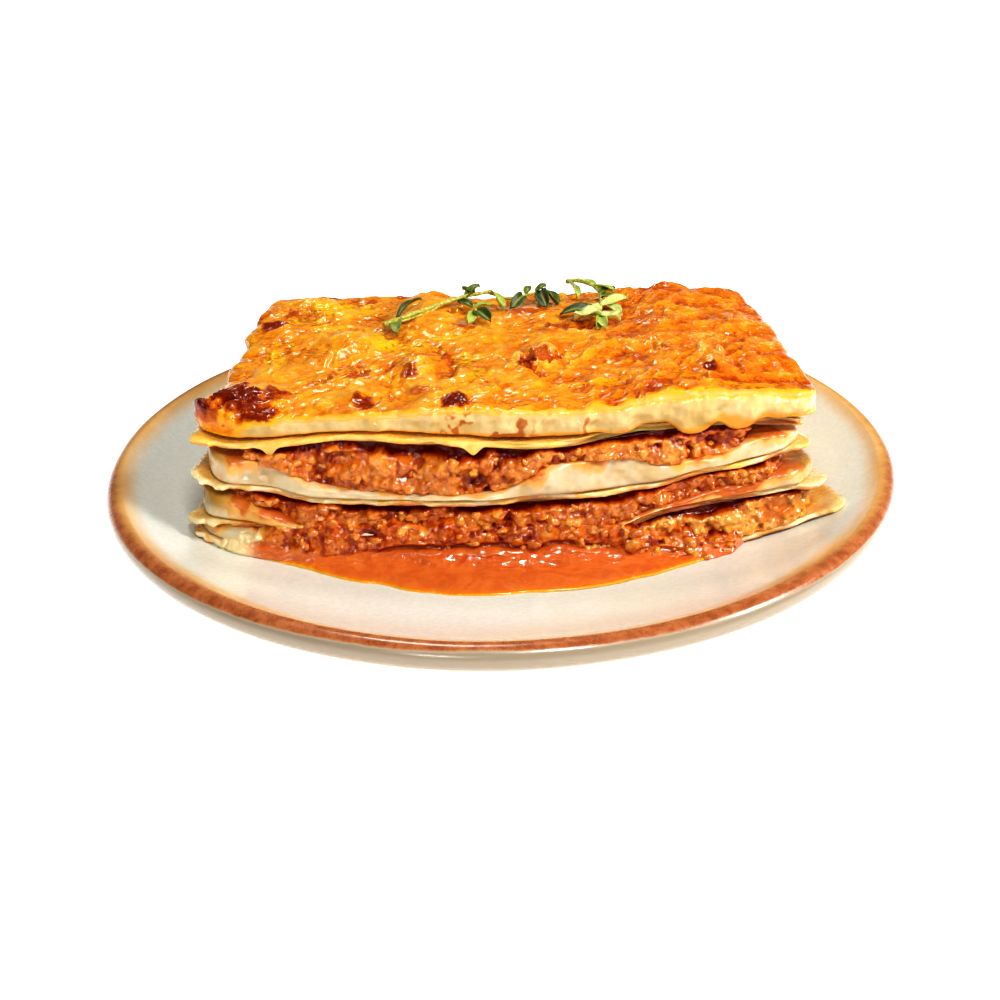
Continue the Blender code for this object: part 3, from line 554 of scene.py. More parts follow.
def layer_surface(ends, grid, lower, upper, inset, radius, bulge, square):
    """A closed layer. Going down the rows, a point runs from the middle of the top out to the edge,
    down a rounded side (a superellipse of the given squareness, standing out by bulge) and back to
    the middle of the underside. Going along a row, it runs round the outline. With the points go
    their outward direction, how far the side stands out there, and their level from 1 down to -1."""
    (left, right), (count, side_rows) = ends, grid
    (a, b), (nx, ny) = outline(count, right - left, LAYER_DEPTH, radius)
    rise = np.sin(np.linspace(math.pi / 2, -math.pi / 2, side_rows) * 0.9) / math.sin(math.pi * 0.45)
    out = np.clip(1 - np.abs(rise) ** square, 0, 1) ** (1 / square)
    rings = np.array(TOP_RINGS)
    still = np.zeros(len(rings))
    shrink = np.concatenate([rings, np.ones(side_rows), rings[::-1]])[:, None]
    level = np.concatenate([still + 1, rise, still - 1])[:, None]
    out = np.concatenate([still, out, still])[:, None]
    x = 0.5 * (left + right) + 0.5 * (right - left) * a * shrink
    middle = 0.5 * (lower(x, 0 * x) + upper(x, 0 * x))

    def place_y(height):
        near, far = front_edge(x, height) + inset, back_edge(height) - inset
        return near + (far - near) * (b * shrink + 1) / 2

    y = place_y(middle)
    low, high = lower(x, y), upper(x, y)
    z = low + (high - low) * (level + 1) / 2
    y = place_y(z)
    away = spread(nx, ny, 0 * x)
    points = spread(x, y, z) + away * (bulge * out)[..., None]
    return points, away, out + 0 * x, level + 0 * x


def ball(divisions):
    """Points and faces of a ball of radius 1 made of triangles."""
    bm = bmesh.new()
    bmesh.ops.create_icosphere(bm, subdivisions=divisions, radius=1)
    points = np.array([v.co[:] for v in bm.verts])
    faces = np.array([[v.index for v in f.verts] for f in bm.faces])
    bm.free()
    return points, faces


def rough_balls(places, sizes, seed):
    """Many crumbs in one mesh: balls pushed in and out by noise, each turned and squashed its own
    way. With their points and faces go each crumb's tone and how deep a point is pushed in, which
    sets painted shade in the dents."""
    rng = np.random.default_rng(seed)
    unit, faces = ball(2)
    count = len(places)
    turn = rng.normal(size=(count, 3, 3))
    turn = np.linalg.qr(turn)[0]
    stretch = rng.uniform(0.7, 1.25, (count, 1, 3)) * np.array([1, 1, CRUMB_FLAT])
    shifted = unit[None] * 1.1 + rng.uniform(-40, 40, (count, 1, 3))
    push = 0.95 + CRUMB_ROUGH * solid_noise(shifted, 0.75, seed, 3)
    points = np.einsum("nij,nkj->nki", turn, unit[None] * push[..., None]) * stretch
    points = points * np.asarray(sizes)[:, None, None] + np.asarray(places)[:, None, :]
    joined = (faces[None] + np.arange(count)[:, None, None] * len(unit)).reshape(-1, 3)
    shade = np.repeat(rng.random(count), len(unit))
    crease = np.clip(1.1 - push, 0, 1).ravel()
    return points.reshape(-1, 3), joined, shade, crease


# Materials

class Value:
    """A socket that takes part in arithmetic: an expression on values adds its Math nodes."""

    def __init__(self, finish, socket):
        self.finish, self.socket = finish, socket

    def work(self, operation, *others):
        values = {i: other for i, other in enumerate((self, *others))}
        return self.finish.node("ShaderNodeMath", {"operation": operation}, values)

    def __add__(self, other):
        return self.work("ADD", other)

    __radd__ = __add__

    def __mul__(self, other):
        return self.work("MULTIPLY", other)

    __rmul__ = __mul__

    def __sub__(self, other):
        return self.work("SUBTRACT", other)

    def __rsub__(self, other):
        return self.finish.node("ShaderNodeMath", {"operation": "SUBTRACT"}, {0: other, 1: self})

    def __pow__(self, other):
        return self.work("POWER", other)

    def at_most(self, other):
        return self.work("MINIMUM", other)

    def at_least(self, other):
        return self.work("MAXIMUM", other)

    def step(self, low, high):
        """An S curve from 0 at one number to 1 at another, as one Map Range node."""
        return self.finish.node("ShaderNodeMapRange", {"interpolation_type": "SMOOTHSTEP"},
                                {"Value": self, "From Min": low, "From Max": high})


class Finish:
    """A material in the making, on Blender's own Principled shader. The constants are the shader's
    own values, and colours given to a node are as a screen shows them, 0 to 255."""

    def __init__(self, name, **constants):
        self.material = bpy.data.materials.new(name)
        self.material.use_nodes = True
        self.tree = self.material.node_tree
        self.shader = self.tree.nodes["Principled BSDF"]
        for socket, value in constants.items():
            self.shader.inputs[socket.replace("_", " ")].default_value = value
        place = self.node("ShaderNodeTexCoord", output="Object")
        self.place = self.node("ShaderNodeVectorMath", {"operation": "SCALE"},
                               {0: place, "Scale": 1 / MM})

    def feed(self, socket, value):
        """Links a value to a socket, or sets the socket to a colour or a number."""
        if isinstance(value, Value):
            self.tree.links.new(value.socket, socket)
        elif socket.type == "RGBA":
            socket.default_value = tint(*value)
        else:
            socket.default_value = value

    def node(self, kind, settings=None, values=None, output=0):
        """Adds a node: its settings first, and then its sockets."""
        made = self.tree.nodes.new(kind)
        for key, value in (settings or {}).items():
            setattr(made, key, value)
        for key, value in (values or {}).items():
            self.feed(made.inputs[key], value)
        return Value(self, made.outputs[output])

    def ramp(self, value, *stops):
        """A colour by a value, from stops that each have a place from 0 to 1 and a colour."""
        made = self.tree.nodes.new("ShaderNodeValToRGB")
        while len(made.color_ramp.elements) < len(stops):
            made.color_ramp.elements.new(0.5)
        for stop, (place, colour) in zip(made.color_ramp.elements, stops):
            stop.position, stop.color = place, tint(*colour)
        self.feed(made.inputs[0], value)
        return Value(self, made.outputs[0])

    def fields(self, *names):
        """The numbers kept on the mesh under these names."""
        return [self.node("ShaderNodeAttribute", {"attribute_name": name}, output="Fac")
                for name in names]

    def noise(self, size, detail=3.0, rough=0.5, place=None, twist=0.0):
        """Noise from 0 to 1 whose features are about size millimetres across."""
        return self.node("ShaderNodeTexNoise", None,
                         {"Vector": place or self.place, "Scale": 1 / size, "Detail": detail,
                          "Roughness": rough, "Distortion": twist})

    def stretched(self, scale, turn=0.0):
        """Places turned about Z and stretched, for grain that runs one way."""
        return self.node("ShaderNodeMapping", None,
                         {"Vector": self.place, "Rotation": (0, 0, turn), "Scale": scale})

    def cells(self, size):
        """Distance to the nearest of scattered points about size millimetres apart."""
        return self.node("ShaderNodeTexVoronoi", None, {"Vector": self.place, "Scale": 1 / size},
                         output="Distance")

    def axis(self, letter):
        """One coordinate in millimetres."""
        return self.node("ShaderNodeSeparateXYZ", None, {0: self.place}, output=letter)

    def mix(self, first, second, share):
        """From the first colour to the second as the share goes from 0 to 1."""
        return self.node("ShaderNodeMix", {"data_type": "RGBA"}, {0: share, 6: first, 7: second},
                         output=2)

    def paint(self, **sockets):
        """Links what changes over the surface to the shader."""
        for socket, value in sockets.items():
            self.feed(self.shader.inputs[socket.replace("_", " ")], value)

    def bumps(self, *layers):
        """Fine relief: each layer is a height, its strength and its depth in millimetres."""
        under = None
        for height, strength, depth in layers:
            values = {"Height": height, "Strength": strength, "Distance": depth * MM}
            if under is not None:
                values["Normal"] = under
            under = self.node("ShaderNodeBump", None, values)
        self.feed(self.shader.inputs["Normal"], under)


def plate_finish():
    """Cream glaze with fine mottle and specks, a rust band that feathers inwards at the rim, and a
    darker, greyer cream on the outer wall and underside as painted shade.
    """
    f = Finish("cream_glaze_rust_rim", Roughness=0.24, Coat_Weight=0.35, Coat_Roughness=0.12)
    x, y, z = f.axis("X"), f.axis("Y"), f.axis("Z")
    radius = (x * x + y * y) ** 0.5
    wander = (f.noise(26, 2) - 0.5) * 2.6 + (f.noise(2.2, 3, 0.65) - 0.5) * 1.5
    dip = z + wander * 0.25 + (x * x) * 0.00012
    outside = radius.step(107.2, 108.2) * (1 - dip.step(19.3, 19.9))
    dipped = radius - (x * x) * 0.00033
    band = (dipped + wander * 0.8).step(101.8, 105.6) * (1 - outside)
    halo = (dipped + wander * 1.2).step(97.5, 103.2) * (1 - outside)
    mottle = f.noise(1.3, 4, 0.7)
    cream = f.mix((226, 229, 217), (234, 237, 229), mottle.step(0.35, 0.65))
    cream = f.mix(cream, (226, 228, 200), f.noise(30, 2).step(0.5, 0.75) * 0.35)
    cream = f.mix(cream, (232, 178, 88), halo * 0.9)
    rust = f.mix((158, 86, 44), (198, 124, 76), f.noise(3.2, 4, 0.7).step(0.3, 0.7))
    rust = f.mix(rust, (120, 58, 26), f.noise(0.9, 2).step(0.62, 0.75) * 0.5)
    glaze = f.mix(cream, rust, band)
    # Painted shade: the outer wall and the underside are a darker, greyer cream.
    outer = outside.at_least(1 - z.step(5.0, 7.0))
    glaze = f.mix(glaze, (164, 148, 126), outer)
    drops = f.cells(7.0).step(0.10, 0.05) * f.noise(9.0, 1).step(0.52, 0.56)
    glaze = f.mix(glaze, (196, 120, 62), drops * (outer * 0.8 + 0.12).at_most(1.0))
    bare = (1 - z.step(0.8, 1.4)) * radius.step(54.0, 55.5)
    glaze = f.mix(glaze, (205, 186, 156), bare)
    f.paint(Base_Color=glaze, Roughness=mottle * 0.12 + 0.16 + bare * 0.5 + band * 0.06)
    f.bumps((f.noise(0.9, 4, 0.7), 0.16, 0.25), (f.noise(9.0, 2), 0.2, 0.6))
    return f.material


def crust_finish():
    """Baked cheese: glossy orange crust, yellow where it is less baked and darker in the low places
    of its relief as painted shade, pale streaks on its wrinkles as painted highlights, brown to
    black on burnt spots, and pale, moist cheese down the side."""
    f = Finish("baked_cheese", Subsurface_Weight=0.12, Subsurface_Scale=0.0007,
               Subsurface_Radius=(1.0, 0.55, 0.22), Coat_Roughness=0.04, Specular_IOR_Level=0.15)
    burnt, yellow, rise, side, stain, crumple = f.fields("burnt", "yellow", "rise", "side", "stain",
                                                         "crumple")
    fine = f.noise(1.0, 4, 0.7, twist=0.6)
    patch = f.noise(6.0, 4, 0.65, twist=0.8)
    streak = f.noise(0.8, 3, 0.6, place=f.stretched((0.35, 1.4, 1.0), 0.9), twist=0.5)
    right = (f.axis("X") + (patch - 0.5) * 60).step(-5, 55)
    # Painted shade: low places of the relief go further along the ramp, to darker orange.
    baked = 0.38 + (fine - 0.5) * 0.7 + (patch - 0.5) * 1.2 + right * 0.30 - rise * 0.25
    top = f.ramp(baked, (0.0, (252, 192, 52)), (0.3, (244, 162, 36)), (0.55, (230, 136, 26)),
                 (0.8, (210, 104, 14)), (1.0, (176, 70, 6)))
    mild = yellow + (patch - 0.5) * 0.9 * yellow
    top = f.mix(top, (255, 196, 26), mild.step(0.3, 0.85) * 0.8)
    # Dark red-brown streaks: browning, drawn to the low places of the relief as painted shade.
    seared_and_shaded = streak + (fine - 0.5) * 0.6 - rise * 0.25 + crumple * 0.06
    top = f.mix(top, (168, 56, 4), seared_and_shaded.step(0.56, 0.74) * 0.7)
    # Painted highlights: pale streaks on the wrinkles stand in for glints, more on high and crumpled
    # places.
    painted_glints = f.noise(0.7, 3, 0.6, place=f.stretched((0.3, 1.5, 1.0), 0.95), twist=0.4)
    painted_glints = painted_glints + rise * 0.12 + crumple * 0.04
    top = f.mix(top, (255, 214, 130), painted_glints.step(0.66, 0.76) * 0.75)
    char = burnt + ((fine - 0.5) * 1.0 + (streak - 0.5) * 1.1 + (patch - 0.5) * 0.8) * burnt
    top = f.mix(top, (188, 78, 6), char.step(0.15, 0.45) * 0.85)
    top = f.mix(top, (136, 42, 4), char.step(0.5, 0.8))
    top = f.mix(top, (84, 20, 4), char.step(0.85, 1.2) * 0.85)
    cloud = f.noise(8.0, 2, 0.5, twist=0.6)
    pale = f.mix((212, 178, 112), (234, 208, 152), cloud.step(0.34, 0.66))
    gold = yellow + (cloud - 0.5) * 1.3
    pale = f.mix(pale, (244, 172, 50), gold.step(0.2, 0.7) * 0.85)
    soaked = stain + (fine - 0.5) * 0.5 * stain
    pale = f.mix(pale, (206, 112, 24), soaked.step(0.25, 0.6) * 0.8)
    soaked = stain + (fine - 0.5) * 0.7 * stain
    pale = f.mix(pale, (150, 60, 10), soaked.step(0.6, 0.9) * 0.45)
    edge = side + (fine - 0.5) * 0.25
    body = f.mix(top, (250, 184, 48), edge.step(0.12, 0.34))
    body = f.mix(body, pale, edge.step(0.36, 0.85))
    f.paint(Base_Color=body, Roughness=fine * 0.18 + 0.16, Coat_Weight=0.32 + crumple * 0.25)
    f.bumps((f.noise(0.45, 3, 0.6), 0.2, 0.1), (streak, 0.3, 0.3), (fine, 0.2, 0.2))
    return f.material


def white_sauce_finish():
    """Thick white sauce: cream, smooth and moist, with an orange film of oil where it meets meat,
    and olive painted shade on the upper part of its ends, under the sheet above.
    """
    f = Finish("white_sauce_cream", Subsurface_Weight=0.3, Subsurface_Scale=0.0014,
               Subsurface_Radius=(1.0, 0.7, 0.4), Coat_Weight=0.3, Coat_Roughness=0.15)
    oil, shade = f.fields("oil", "shade")
    fine = f.noise(1.6, 4, 0.65, twist=0.4)
    base = f.mix((230, 214, 180), (222, 192, 140), f.noise(7, 3).step(0.35, 0.7))
    film = (oil + (fine - 0.5) * 0.8).step(0.35, 0.9)
    base = f.mix(base, (246, 176, 56), film * 0.75)
    base = f.mix(base, (206, 88, 14), (oil + (fine - 0.5) * 0.9).step(1.0, 1.5) * 0.8)
    # Painted shade: olive where the shade field is high.
    base = f.mix(base, (150, 122, 44), shade * 0.7)
    f.paint(Base_Color=base, Roughness=fine * 0.12 + 0.2)
    f.bumps((f.noise(0.8, 3), 0.12, 0.15), (f.noise(3.5, 2), 0.2, 0.5))
    return f.material


def pasta_finish():
    """Boiled pasta: pale cream-yellow, a little see-through, with oily orange stains."""
    f = Finish("boiled_pasta", Subsurface_Weight=0.3, Subsurface_Scale=0.001,
               Subsurface_Radius=(1.0, 0.65, 0.3), Coat_Weight=0.4, Coat_Roughness=0.12)
    oil, edge, gold = f.fields("oil", "edge", "gold")
    fine = f.noise(1.2, 4, 0.6)
    base = f.mix((240, 212, 146), (232, 178, 84), f.noise(9, 3).step(0.35, 0.7))
    base = f.mix(base, (252, 240, 200), edge * f.noise(5, 2).step(0.4, 0.6))
    base = f.mix(base, (254, 208, 96), (gold + (fine - 0.5) * 0.6).step(0.1, 0.9) * 0.8)
    base = f.mix(base, (232, 140, 40), (oil + (fine - 0.5) * 0.8).step(0.45, 0.95) * 0.8)
    base = f.mix(base, (170, 72, 18), (oil + (fine - 0.5) * 0.8).step(1.0, 1.4) * 0.7)
    f.paint(Base_Color=base, Roughness=fine * 0.14 + 0.2)
    f.bumps((f.noise(0.7, 3), 0.12, 0.12), (f.noise(3.0, 2), 0.2, 0.3))
    return f.material


def meat_finish(name, brown):
    """Mince in tomato sauce: amber to red-brown by each crumb's tone and fine noise, with its
    palest colours partly painted highlights, dark red where it lies deep as painted shade, partly
    the sauce between crumbs, and orange and wet under sauce. White sauce and soup show through by
    fields."""
    f = Finish(name, Subsurface_Weight=0.08, Subsurface_Scale=0.0005,
               Subsurface_Radius=(1.0, 0.3, 0.1), Coat_Roughness=0.2, Coat_IOR=1.65,
               Specular_IOR_Level=0.25)
    tone, crease, wet, cream, soup = f.fields("tone", "crease", "wet", "cream", "soup")
    fine = f.noise(0.8, 4, 0.7)
    patch = f.noise(3.4, 3, 0.6, twist=0.8)
    # Painted shade: the ramp runs darker where a point lies deep.
    shade = tone * 0.34 + (fine - 0.5) * 0.8 + (patch - 0.5) * 0.9 + 0.36 - brown - crease * 0.25
    # The palest stops stand partly for highlights on the crumbs, a painted highlight; the rest is the
    # mince's own tone.
    meat = f.ramp(shade, (0.0, (146, 52, 8)), (0.25, (198, 98, 22)), (0.5, (226, 136, 42)),
                  (0.75, (242, 170, 68)), (1.0, (252, 208, 124)))
    swirl = f.noise(5.0, 3, 0.55, twist=2.2)
    sauce = f.mix((156, 48, 4), (222, 110, 20), swirl.step(0.36, 0.52))
    sauce = f.mix(sauce, (208, 144, 44), swirl.step(0.56, 0.68) * 0.7)
    meat = f.mix(meat, sauce, wet * 0.7)
    milky = cream + (fine - 0.5) * 0.5 * cream
    meat = f.mix(meat, (250, 196, 96), milky.step(0.35, 0.9) * 0.8)
    # Painted shade: dark red and near black where a point lies deep, partly the sauce between crumbs.
    deep = crease + (fine - 0.5) * 0.3 + (patch - 0.5) * 0.3
    meat = f.mix(meat, (244, 220, 166), cream.step(0.95, 1.25))
    meat = f.mix(meat, (146, 38, 2), deep.step(0.32, 0.56) * 0.8)
    meat = f.mix(meat, (96, 10, 0), deep.step(0.56, 0.88))
    pool = f.mix((214, 106, 44), (226, 122, 52), patch.step(0.4, 0.65))
    # Painted shade: darker red in the deep places of the soup.
    pool = f.mix(pool, (196, 54, 10), (swirl + crease * 0.3).step(0.6, 0.85) * 0.7)
    meat = f.mix(meat, pool, soup)
    f.paint(Base_Color=meat, Roughness=fine * 0.16 + 0.06 - wet * 0.04,
            Coat_Weight=1.0 - crease * 0.9)
    f.bumps((f.noise(0.4, 3, 0.6), 0.15, 0.1), (fine, 0.22, 0.3))
    return f.material


def sauce_finish():
    """Wet tomato sauce: orange-red, with an oily rim that goes amber and then yellow."""
    f = Finish("tomato_sauce_pool", Subsurface_Weight=0.15, Subsurface_Scale=0.0008,
               Subsurface_Radius=(1.0, 0.3, 0.1), Coat_Weight=1.0, Coat_Roughness=0.04,
               Specular_IOR_Level=0.2)
    rim, deep = f.fields("rim", "deep")
    fine = f.noise(1.0, 4, 0.65)
    swirl = f.noise(7, 3, 0.6, twist=1.5)
    base = f.mix((214, 106, 44), (226, 122, 52), swirl.step(0.35, 0.65))
    base = f.mix(base, (202, 66, 18), (swirl + deep * 0.5).step(0.75, 1.1) * 0.6)
    base = f.mix(base, (232, 130, 26), (rim + (fine - 0.5) * 0.5).step(0.35, 0.8) * 0.9)
    base = f.mix(base, (246, 184, 50), (rim + (fine - 0.5) * 0.4).step(0.72, 1.0))
    speck = f.cells(13.0).step(0.05, 0.03) * 0.8
    base = f.mix(base, (150, 60, 14), speck)
    f.paint(Base_Color=base, Roughness=fine * 0.16 + 0.06)
    f.bumps((fine, 0.2, 0.2), (f.noise(2.4, 3, 0.6, twist=1.2) * (deep + 0.4), 0.45, 1.0))
    return f.material


def thyme_finish():
    """Thyme: yellow-green stalks, and leaves from dark to pale green with a lighter midrib."""
    f = Finish("thyme_green", Roughness=0.42, Subsurface_Weight=0.15, Subsurface_Scale=0.001,
               Subsurface_Radius=(0.4, 1.0, 0.2))
    pale, rib, stem = f.fields("pale", "rib", "stem")
    fine = f.noise(0.8, 3)
    leaf = f.ramp(pale + (fine - 0.5) * 0.3, (0.0, (50, 62, 16)), (0.35, (112, 128, 38)),
                  (0.7, (182, 196, 92)), (1.0, (218, 226, 146)))
    leaf = f.mix(leaf, (206, 214, 110), rib * 0.5)
    stalk = f.mix((216, 206, 100), (160, 162, 56), fine.step(0.35, 0.65))
    f.paint(Base_Color=f.mix(leaf, stalk, stem), Roughness=fine * 0.2 + 0.35)
    f.bumps((f.noise(0.35, 2), 0.25, 0.1), (f.noise(1.2, 2), 0.25, 0.2))
    return f.material


# Pieces

def make_plate(finish):
    """The plate, turned: the profile's height goes with the radius, and both wander by a tenth of
    a millimetre or two as on a thrown plate."""
    well = np.linspace(0, PLATE_WELL_RADIUS, 14)[:-1]
    rise = PLATE_WELL_RADIUS + PLATE_RISE_WIDTH * np.linspace(0, 0.985, 46)
    turn = np.radians(np.linspace(122, -62, 34))
    radius = np.concatenate([well, rise, PLATE_RADIUS - RIM_ROUND + RIM_ROUND * np.cos(turn)])
    height = np.concatenate([plate_top(well), plate_top(rise),
                             RIM_HEIGHT - RIM_ROUND + RIM_ROUND * np.sin(turn)])
    under = np.linspace(0.05, 1, 22)
    low_r = radius[-1] + (FOOT_RADIUS + 1.5 - radius[-1]) * under
    low_z = height[-1] + (3.4 - height[-1]) * under - 1.3 * np.sin(math.pi * under)
    outer, inner = FOOT_RADIUS, FOOT_RADIUS - FOOT_WIDTH
    foot = np.array([(outer + 0.8, 2.0), (outer + 0.3, 0.7), (outer - 0.3, 0.1), (outer - 0.9, 0),
                     (inner + 0.9, 0), (inner + 0.3, 0.15), (inner - 0.4, 1.0), (inner - 1.4, 2.2),
                     (inner - 3, FOOT_RECESS), (40, FOOT_RECESS), (20, FOOT_RECESS),
                     (0, FOOT_RECESS)])
    radius = np.concatenate([radius, low_r, foot[:, 0]])[:, None]
    height = np.concatenate([height, low_z, foot[:, 1]])[:, None]
    spin = np.linspace(0, 2 * math.pi, PLATE_TURNS, endpoint=False)[None]
    flat = spread(radius * np.cos(spin), radius * np.sin(spin), height)
    wander = solid_noise(flat, 34, 301, 2) * soft_step(height, 2.8, 8.0)
    points = flat + spread(0, 0, 0.14 * wander)
    points[..., :2] *= (1 - 0.0012 * (1 + solid_noise(flat, 60, 305, 1)))[..., None]
    capped_piece("plate_glazed", points, finish, "plate", "plate")


def make_sheet(number, finish):
    """A pasta sheet: a thin layer with a full round edge that waves in and out and up and down. The
    front edge of the uppermost one lies back at the right and hangs down at two places."""
    def wave(x, y):
        return 0.28 * solid_noise(spread(x, y, 10.0 * number), 9, 400 + number, 2)

    points, away, out, level = layer_surface(
        SHEET_ENDS[number], SHEET_GRID, lambda x, y: sheet_bottom(number, x, y) + wave(x, y) + 0.25,
        lambda x, y: sheet_top(number, x, y) + wave(x, y) - 0.15,
        inset=0.0 if number == 4 else 0.6, radius=3.0, bulge=0.4, square=2.6)
    x = points[..., 0]
    front = near_front(points[..., 1])
    ragged = (0.8 * solid_noise(points, 8, 420 + number, 2)
              + (0.2 + 0.7 * soft_step(-x, 58, 74)) * solid_noise(points, 2.4, 430 + number, 2)
              + 0.9 * soft_step(np.abs(x - SLICE_X), 62, 78))
    shift = ragged * (out > 0)
    if number == 4:
        shift = shift - 3.2 * soft_step(x, 18, 26) * front * (0.3 + 0.7 * (out > 0))
        hang = np.exp(-((x + 56.6) / 1.7) ** 2) + 0.9 * np.exp(-((x + 6.5) / 1.8) ** 2)
        points[..., 2] -= 2.4 * hang * front * (out > 0) * soft_step(-level, -0.4, 0.6)
    points = points + away * shift[..., None]
    oil = 0.55 + 0.6 * solid_noise(points, 10, 440 + number, 3) - 0.5 * level
    if number == 2:
        oil = oil + 0.9 * soft_fall(np.abs(x - 42), 8, 26)
        oil = oil + 0.6 * soft_fall(np.abs(x + 56), 7, 14)
    if number == 4:
        oil = oil - 0.3
    gold = {1: 0.2, 2: 0.25, 3: 0.3, 4: 0.95}[number] + 0.35 * solid_noise(points, 6, 450 + number, 2)
    capped_piece(f"pasta_layer_{number}", points, finish, f"pasta_sheet_{number}", "pasta",
                 oil=oil, edge=out, gold=gold)


def make_white_sauce(number, finish):
    """A layer of white sauce: its rounded side bulges, sags towards its foot and swells unevenly."""
    def lower(x, y):
        return sheet_top(number, x, y) + (0.2 if number == 1 else 0.15)

    def upper(x, y):
        return sheet_bottom(2, x, y) - 0.2 if number == 1 else between(number, x, y)

    points, away, out, level = layer_surface(WHITE_ENDS[number], WHITE_GRID, lower, upper,
                                             inset=0.6, radius=8.0, bulge=1.3, square=2.7)
    swell = 0.8 * solid_noise(points, 11, 500 + number, 2)
    swell = swell + 0.25 * solid_noise(points, 3, 510 + number, 2)
    sag = 0.5 * out * np.clip(-level, 0, 1)
    points = points + away * (out * swell + sag)[..., None]
    x = points[..., 0]
    reach = solid_noise(points * np.array([1, 1, 0.25]), 5, 520 + number, 3)
    oil = 0.25 + 0.75 * level + 0.85 * reach
    oil = np.maximum(oil, 0.2 - 1.2 * (level + 0.75) + 0.5 * reach)
    # Painted shade: olive on the upper part of the ends, under the sheet above.
    shade = soft_step(np.abs(x - SLICE_X), 66, 76) * soft_step(level, 0.2, 0.9)
    if number == 2:
        oil = oil + 1.3 * soft_fall(np.abs(x - 44), 12, 26)
        oil = oil + 0.9 * soft_fall(np.abs(x + 56), 7, 14)
        oil = oil + 0.55 * soft_step(x, 52, 64)
        # At sheet 2's left end the olive covers more of the height: an olive-yellow blob of cheese hangs
        # there, in painted shade.
        shade = np.maximum(shade, soft_step(-x, 66, 73) * soft_step(level, -0.3, 0.4))
    capped_piece(f"white_sauce_{number}", points, finish, f"bechamel_{number}", "white_sauce",
                 oil=oil, shade=shade)


def make_meat(number, finish):
    """A layer of mince: its side stands out by packed crumbs, some of it drowned in sauce, and its
    upper edge draws back as a smooth lip under the sheet, wet with sauce and painted dark as shade
    under the sheet. Loose crumbs lie over it."""
    def lower(x, y):
        return sheet_top(1, x, y) + 0.2 if number == 1 else between(number, x, y)

    points, away, out, level = layer_surface(
        MEAT_ENDS[number], MEAT_GRID, lower, lambda x, y: sheet_bottom(number + 1, x, y) - 0.1,
        inset=0.9, radius=6.0, bulge=0.4, square=6.0)
    lip = soft_step(level + 0.25 * solid_noise(points, 6, 600 + number, 2), 0.52, 0.92)
    wet = np.maximum(soft_step(solid_noise(points, 6.5, 605 + number, 3), 0.12, 0.65), lip)
    rise, shade, crease = mince_relief(points, 610 + 40 * number, wet)
    swell = 0.7 * solid_noise(points, 9, 650 + number, 2)
    points = points + away * (out * (rise - 2.1 + swell - 1.0 * lip))[..., None]
    # The lip adds painted shade under the sheet above, as if it lay deep.
    crease = np.clip(crease * (0.6 if number == 1 else 0.84) + 0.8 * lip, 0, 1)
    capped_piece(f"mince_{number}", points, finish, f"meat_sauce_{number}", "meat_sauce",
                 tone=shade, wet=wet, cream=0 * wet, soup=0 * wet, crease=crease)
    rng = np.random.default_rng(660 + number)
    rows = np.nonzero((level[:, 0] < 0.5) & (level[:, 0] > -0.85) & (out[:, 0] > 0.5))[0]
    picked = rng.choice(rows, LAYER_CRUMBS), rng.integers(0, points.shape[1], LAYER_CRUMBS)
    sizes = rng.uniform(0.5, 1.0, LAYER_CRUMBS) ** 2 * 1.3 + 0.35
    places = points[picked] - away[picked] * (sizes * 0.35)[:, None]
    loose_crumbs(f"mince_crumbs_{number}", places, sizes, 670 + number, finish)


def loose_crumbs(name, places, sizes, seed, finish):
    """Crumbs of mince that lie on a surface, each with its own tone, and painted shade in their dents.
    """
    points, faces, tone, dent = rough_balls(places, sizes, seed)
    still = np.zeros(len(points))
    mesh_piece(name, points, [], faces, finish, None,
               {"tone": 0.25 + 0.75 * tone, "crease": dent * 0.5, "wet": still, "cream": still,
                "soup": still})


